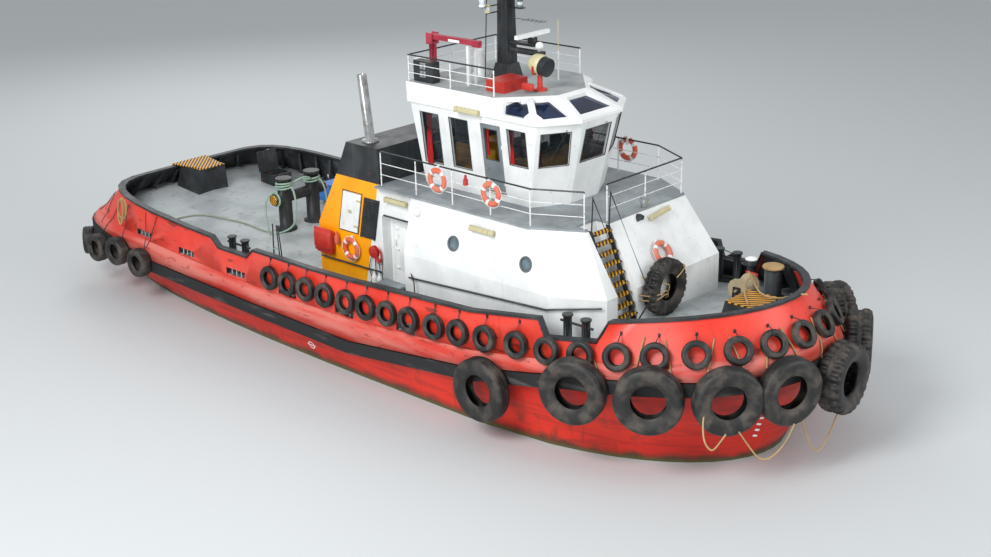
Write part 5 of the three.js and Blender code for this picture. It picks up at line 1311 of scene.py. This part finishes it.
fitted(tarp, "hull", slot="steel")
tarp_area = sum(face.area for face in tarp.data.polygons)
min(tarp_area, tarp_size[0] * tarp_size[1])


# Bollard cap: a turned disc in cream paint on the black steel post of the foredeck, a little wider than
# the post itself.
bollard_low, bollard_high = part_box("fore_bollard")
bollard_at = (bollard_low + bollard_high) / 2
cap = turned("bollard_cap",
             [(0.0, 0.06), (0.22, 0.055), (0.3, 0.035), (0.315, 0.0), (0.3, -0.03), (0.0, -0.03)], 32)
fitted(placed(cap, Matrix.Translation((bollard_at.x, bollard_at.y, bollard_high.z + 0.03)), hemp), "hull",
       slot="rope")

# Rope reel: old hemp rope wound on a cream painted steel drum in two layers, which turn with the drum
# between its bearings.
drum_low, drum_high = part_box("windlass_drum")
drum_at = (drum_low + drum_high) / 2
wound = []
for layer, radius in ((0, 0.2), (1, 0.235)):
    points = []
    count = 9 - layer
    for step in range(count * 16 + 1):
        t = step * math.pi / 8
        across = -0.24 + 0.03 * layer + (0.48 - 0.06 * layer) * step / (count * 16)
        points.append((drum_at.x + radius * math.cos(t), drum_at.y + across,
                       drum_at.z + radius * math.sin(t)))
    wound.append(drawn("wound_rope", points, 0.024, sides=8, smooth=False, material=hemp))
fitted(joined(wound, "wound_rope"), "windlass_drum", slot="rope")
paint("windlass_drum", enamel("drum_cream", "b9a888", "8f8068", gloss=0.8, rust=0.5, grime=0.4))

# Foredeck ropes: two hemp ropes lead from the reel over the platform to the bow and the bollard, made
# fast at both ends.
fore_ropes = []
lead = [(10.35, 2.2, 3.92), (10.8, 1.6, 4.1), (11.4, 0.9, 4.17), (12.0, 0.3, 4.17), (12.6, 0.25, 4.2),
        (13.2, 0.3, 4.5),
        (13.42, 0.32, 4.52)]
second = [(12.1, -0.45, 4.16), (11.6, 0.1, 4.16), (11.2, 0.75, 4.16), (10.95, 1.35, 4.14),
          (10.75, 1.75, 4.0)]
for way in (lead, second):
    fore_ropes.append(drawn("fore_rope", way, 0.026, sides=10, material=hemp))
fitted(joined(fore_ropes, "fore_rope_lead"), "hull", slot="rope")

# Brake bar: a bent steel bar painted red, which stands on the deck beside the reel and reaches its
# bearing.
brake = [rod("brake_bar", [(9.85, 2.85, 3.62), (10.35, 2.62, 3.72), (10.4, 2.5, 3.4)], 0.045, red_enamel),
         rod("brake_foot", [(9.85, 2.85, 3.62), (9.85, 2.85, deck_height(9.85, 2.85))], 0.04, red_enamel)]
fitted(joined(brake, "brake_bar"), "hull", slot="crimson")

# Spare tyre's lashing: four lengths of hemp rope hold the tyre against the front of the house, led
# through its bore.
lash = []
for way in (
    [(8.78, -0.95, 4.35), (9.05, -0.9, 4.25), (9.5, -0.6, 4.15), (9.52, -0.35, 4.05), (9.3, -0.32, 3.6)],
    [(8.85, -1.25, 3.9), (9.3, -1.12, 3.86), (9.52, -0.9, 3.9), (9.53, -0.5, 4.0), (9.3, -0.2, 3.65)],
    [(8.85, -1.25, 3.75), (9.3, -1.12, 3.72), (9.52, -0.9, 3.78), (9.53, -0.5, 3.9), (9.3, -0.2, 3.6)],
    [(9.52, -0.1, 4.2), (9.53, 0.25, 4.35), (9.3, 0.55, 4.4), (8.95, 0.6, 4.3)],
):
    lash.append(drawn("spare_lashing", way, 0.018, sides=8, material=hemp))
fitted(joined(lash, "spare_tyre_lashing"), "hull", slot="rope")

# Floodlights: one bright and one black spun metal shell at the head of the front stairs, each bolted to
# a short stub.
floods = []
for x, y, z, body in ((8.0, 0.35, 6.0, chrome.material), (8.12, -0.02, 5.62, black_enamel)):
    shell = turned("shell",
                   [(0.0, -0.16), (0.05, -0.15), (0.12, -0.04), (0.14, 0.05), (0.14, 0.07), (0.0, 0.05)],
                   28)
    at = Matrix.Translation((x, y, z)) @ Matrix.Rotation(math.radians(115), 4, "Y")
    floods.append(placed(shell, at, body))
    floods.append(rod("flood_foot", [(x - 0.06, y, z), (x - 0.1, y, z - 0.2)], 0.02, rim_grey, sides=8))
fitted(joined(floods, "stair_floodlights"), "hull", slot="steel")


# Front stairs: welded steel treads between two flat stringers, with yellow and black paint on the
# nosings and black paint inside.
tread_paint = Finish("tread_paint")
band = ((tread_paint.x + tread_paint.y * 1.0) * 7.0).maths("FRACT", 0.0).between(0.48, 0.54)
up = tread_paint.facing()
tread_wear = tread_paint.spots(0.1, detail=7).between(0.5, 0.66)
hazard_strip = tread_paint.mix(band, tint("1b1c1d"), tint("dfa21c"))
hazard_strip = tread_paint.mix(tread_wear * 0.5, hazard_strip, tint("54452e"))
inside = tread_paint.y.between(-2.035, -2.03) * (-1.38 - tread_paint.y).between(0.0, 0.005)
tread_paint.set("Base Color",
                tread_paint.mix(inside * up[0].between(0.3, 0.6) + inside * up[2].between(0.5, 0.9),
                                              tint("25282a"), hazard_strip))
tread_paint.set("Roughness", tread_wear * 0.2 + 0.55)
tread_paint.bump(tread_paint.spots(0.03), strength=0.3, depth=0.004)
paint("front_stairs", tread_paint.material)


# Bulwark inside: flanged frames from deck to rail, black with pale feet, and red knees at the bow. Bars
# stand in the freeing ports.
rail_line = [
    (-14.2, 3.52), (-9.5, 3.29), (-6.04, 3.16), (-5.69, 2.87), (-4.24, 2.87), (-3.87, 3.17), (-1.0, 3.18),
    (0.72, 3.24),
    (2.88, 3.37), (5.68, 3.52), (8.0, 3.8), (8.2, 3.3), (9.63, 3.42), (9.94, 4.02), (13.6, 4.49),
]


def bulwark_inside(x, y, z, way):
    """The point of the bulwark's inner face that way looks at from (x, y, z)."""
    hit, point = surfaces["bulwark"].ray_cast(Vector((x, y, z)), Vector(way).normalized())[:2]
    return point if hit else None


def frame_plate(foot, head, inward, material):
    """A tapered bracket with a flange, its back against the plating from foot to head."""
    plate = block("frame", (-0.012, 0.0, 0.0), (0.012, 1.0, 1.0), bevel=0.004)
    flange = block("flange", (-0.04, 0.96, 0.0), (0.04, 1.04, 1.0), bevel=0.004)
    made = joined([plate, flange], "frame")
    across = Vector((-inward.y, inward.x, 0))
    for vertex in made.data.vertices:
        side, depth, rise_share = vertex.co
        reach = depth * (0.34 - 0.22 * rise_share)
        vertex.co = foot.lerp(head, rise_share) + across * side + inward * reach
    made.data.materials.append(material)
    return made


frame_paint = Finish("frame_paint")
frame_paint.set("Base Color", frame_paint.mix(frame_paint.spots(0.4, detail=6).between(0.35, 0.7),
                                              tint("222629"), tint("474c50")))
frame_paint.set("Roughness", frame_paint.spots(0.3) * 0.2 + 0.5)
frames, feet = [], []
rows = [(x, 0.0, (0, side, 0)) for side in (-1, 1) for x in
        [-9.9 + 1.1 * n for n in range(4)] + [-5.7, -4.1, -3.3, -2.2, -1.1, 0.3, 1.5, 2.7, 3.9, 5.1, 6.2]]
rows += [(-9.9, 0.0, (math.cos(t), math.sin(t), 0))
         for t in [math.radians(100 + 160 * n / 14) for n in range(15)]]
rows += [(9.4, 0.0, (math.cos(t), math.sin(t), 0))
         for t in [math.radians(-68 + 136 * n / 12) for n in range(13)]]
for n, (x, y, way) in enumerate(rows):
    floor_z = deck_height(x + way[0] * 3.6, 3.9)
    low = bulwark_inside(x, y, floor_z + 0.3, way)
    high = low and bulwark_inside(x, y, along(rail_line, low.x) - 0.25, way)
    if not high or high.z - low.z < 0.2:
        continue
    inward = -Vector(way)
    lean = (high - low) / (high.z - low.z)
    foot = low + lean * (deck_height(low.x, abs(low.y)) - 0.02 - low.z) + inward * 0.02
    head = low + lean * (along(rail_line, low.x) - 0.1 - low.z) + inward * 0.02
    paint_of = red_enamel if low.x > 11.2 and n % 2 else frame_paint.material
    frames.append(frame_plate(foot, head, inward, paint_of))
    pad = block("pad", (-0.09, 0.02, 0.035), (0.09, 0.42, 0.055), bevel=0.006)
    turn = Matrix((Vector((-inward.y, inward.x, 0)), inward, Vector((0, 0, 1)))).transposed().to_4x4()
    turn.translation = foot
    feet.append(placed(pad, turn, deck_paint))
fitted(joined(frames, "bulwark_frames"), "hull", slot="black")
fitted(joined(feet, "frame_pads"), "hull", slot="deck_grey")

# Freeing port bars: three round steel bars painted grey stand in each opening of the bulwark, welded
# above and below.
bar_grey = enamel("bar_grey", "b9bcbb", "999d9d", gloss=0.5, rust=0.35)
bars = []
for side in (-1, 1):
    for x0, x1 in ((-10.4, -9.5), (-7.9, -7.05), (-5.3, -4.35), (-2.65, -1.8), (0.0, 0.85), (2.7, 3.5)):
        for n in (1, 2, 3):
            x = x0 + (x1 - x0) * n / 4
            way = []
            for lift in (0.06, 0.42):
                wall = surfaces["bulwark"].closest_point_on_mesh(Vector((x, side * 5,
                                                                         along(deck_line, x) + lift)))[1]
                way.append((x, wall.y - side * 0.06, along(deck_line, x) + lift))
            bars.append(rod("bar", way, 0.02, bar_grey, sides=6))
fitted(joined(bars, "freeing_port_bars"), "hull", slot="black")


# Tyre lashings: each tyre hangs from an eye on the bulwark, the small ones by a short chain and the large
# ones by two old ropes, and three bights of rope hang under the bow.
def hull_skin(point, stand):
    """The point of the ship's side nearest to point, stood off by stand."""
    found = []
    for node in ("hull", "bulwark"):
        near, out = surfaces[node].closest_point_on_mesh(Vector(point))[1:3]
        found.append(((near - Vector(point)).length, near + out.normalized() * stand))
    return min(found, key=lambda pair: pair[0])[1]


def draped(start, end, stand, count=9):
    """A line over the ship's side from start to end."""
    start, end = Vector(start), Vector(end)
    return [hull_skin(start.lerp(end, n / (count - 1)), stand) for n in range(count)]


lashings = []
for x, y, z, angle, tip in small_places:
    for side in (-1, 1):
        out = Vector((math.cos(math.radians(angle)), side * math.sin(math.radians(angle)), 0))
        eye = hull_skin(Vector((x, side * y, z + 0.62)) - out * 0.1, 0.01)
        top = Vector((x, side * y, z + 0.36)) - out * 0.05
        lashings.append(rod("chain",
                            [eye, eye.lerp(top, 0.6) + out * 0.02, top,
                             top + Vector((0, 0, -0.16)) + out * 0.02],
                            0.014, black_enamel, sides=6))
        lashings.append(placed(block("eye", (-0.03, -0.05, -0.01), (0.03, 0.05, 0.03)),
                               Matrix.Translation(eye) @ out.to_track_quat("Z", "Y").to_matrix().to_4x4(),
                               black_enamel))
fitted(joined(lashings, "small_tyre_chains"), "hull", slot="black")

ropes = []
for x, y, z, angle in bow_large + bow_lugged:
    out = Vector((math.cos(math.radians(angle)), math.sin(math.radians(angle)), 0))
    across = Vector((-out.y, out.x, 0))
    for side in (-1, 1):
        eye = hull_skin(Vector((x, y,
                                along(rail_line, min(x, 13.6)) - 0.22)) - out * 0.5 + across * side * 0.25,
                        0.03)
        top = Vector((x, y, z)) + across * side * 0.52 + Vector((0, 0, 0.72)) - out * 0.12
        way = draped(eye, hull_skin(top, 0.03), 0.035, 6) + [top,
                                                             top - Vector((0, 0,
                                                                           0.2)) - across * side * 0.06]
        ropes.append(drawn("tyre_rope", way, 0.022, sides=8, smooth=False, material=hemp))
for way in (
    [(13.0, -3.62, 2.3), (13.12, -3.86, 1.85), (13.41, -3.85, 1.5), (13.55, -3.7, 1.75),
     (13.6, -3.5, 1.95)],
    [(13.65, -3.0, 1.85), (13.77, -2.9, 1.6), (14.1, -2.55, 0.9), (14.4, -1.95, 1.35), (14.45, -1.7, 1.85)],
    [(14.3, -1.1, 1.85), (14.35, -1.05, 1.35), (14.5, -0.62, 0.52), (14.6, -0.1, 1.1), (14.6, 0.2, 1.6)],
):
    ropes.append(drawn("bight", way, 0.022, sides=8, material=hemp))
fitted(joined(ropes, "large_tyre_ropes"), "hull", slot="rope")

lines = []
for start, end in (((-13.3, -3.6, 3.45), (-13.6, -3.95, 1.9)), ((-12.9, -3.9, 3.4), (-12.6, -4.4, 1.95)),
                   ((-11.9, -4.3, 3.35), (-12.4, -4.5, 1.95)), ((-11.2, -4.4, 3.3), (-11.15, -4.6, 2.1)),
                   ((-9.9, -4.4, 3.25), (-9.8, -4.6, 2.0)), ((-9.2, -4.4, 3.22), (-9.7, -4.6, 2.05))):
    for side in (1, -1):
        way = draped((start[0], side * start[1], start[2]), (end[0], side * end[1], end[2]), 0.02)
        lines.append(rod("stern_line", way, 0.012, black_enamel, sides=6))
fitted(joined(lines, "stern_tyre_lines"), "hull", slot="black")

# Draught and load marks: plain raised strips welded to the sides at the bow and a ring with a bar
# amidships, painted white.
marks = []
for side in (-1, 1):
    for n in range(6):
        x = 13.3 + 0.11 * n
        spot = seat("hull", (x, side * 1.3, 0.6 + 0.2 * n), right=(0.3, side, 0))
        marks.append(placed(block("tick", (-0.07, -0.035, 0.0), (0.07, 0.035, 0.006), bevel=0.002), spot,
                            white_enamel))
    load = seat("hull", (-1.5, side * 4.3, 0.5))
    marks.append(placed(block("load_bar", (-0.2, -0.015, 0.0), (0.2, 0.015, 0.006), bevel=0.002), load,
                        white_enamel))
    ring = turned("load_ring", [(0.11, 0.0), (0.11, 0.006), (0.14, 0.006), (0.14, 0.0), (0.11, 0.0)], 28)
    marks.append(placed(ring, load, white_enamel))
fitted(joined(marks, "draught_marks"), "hull", slot="white")
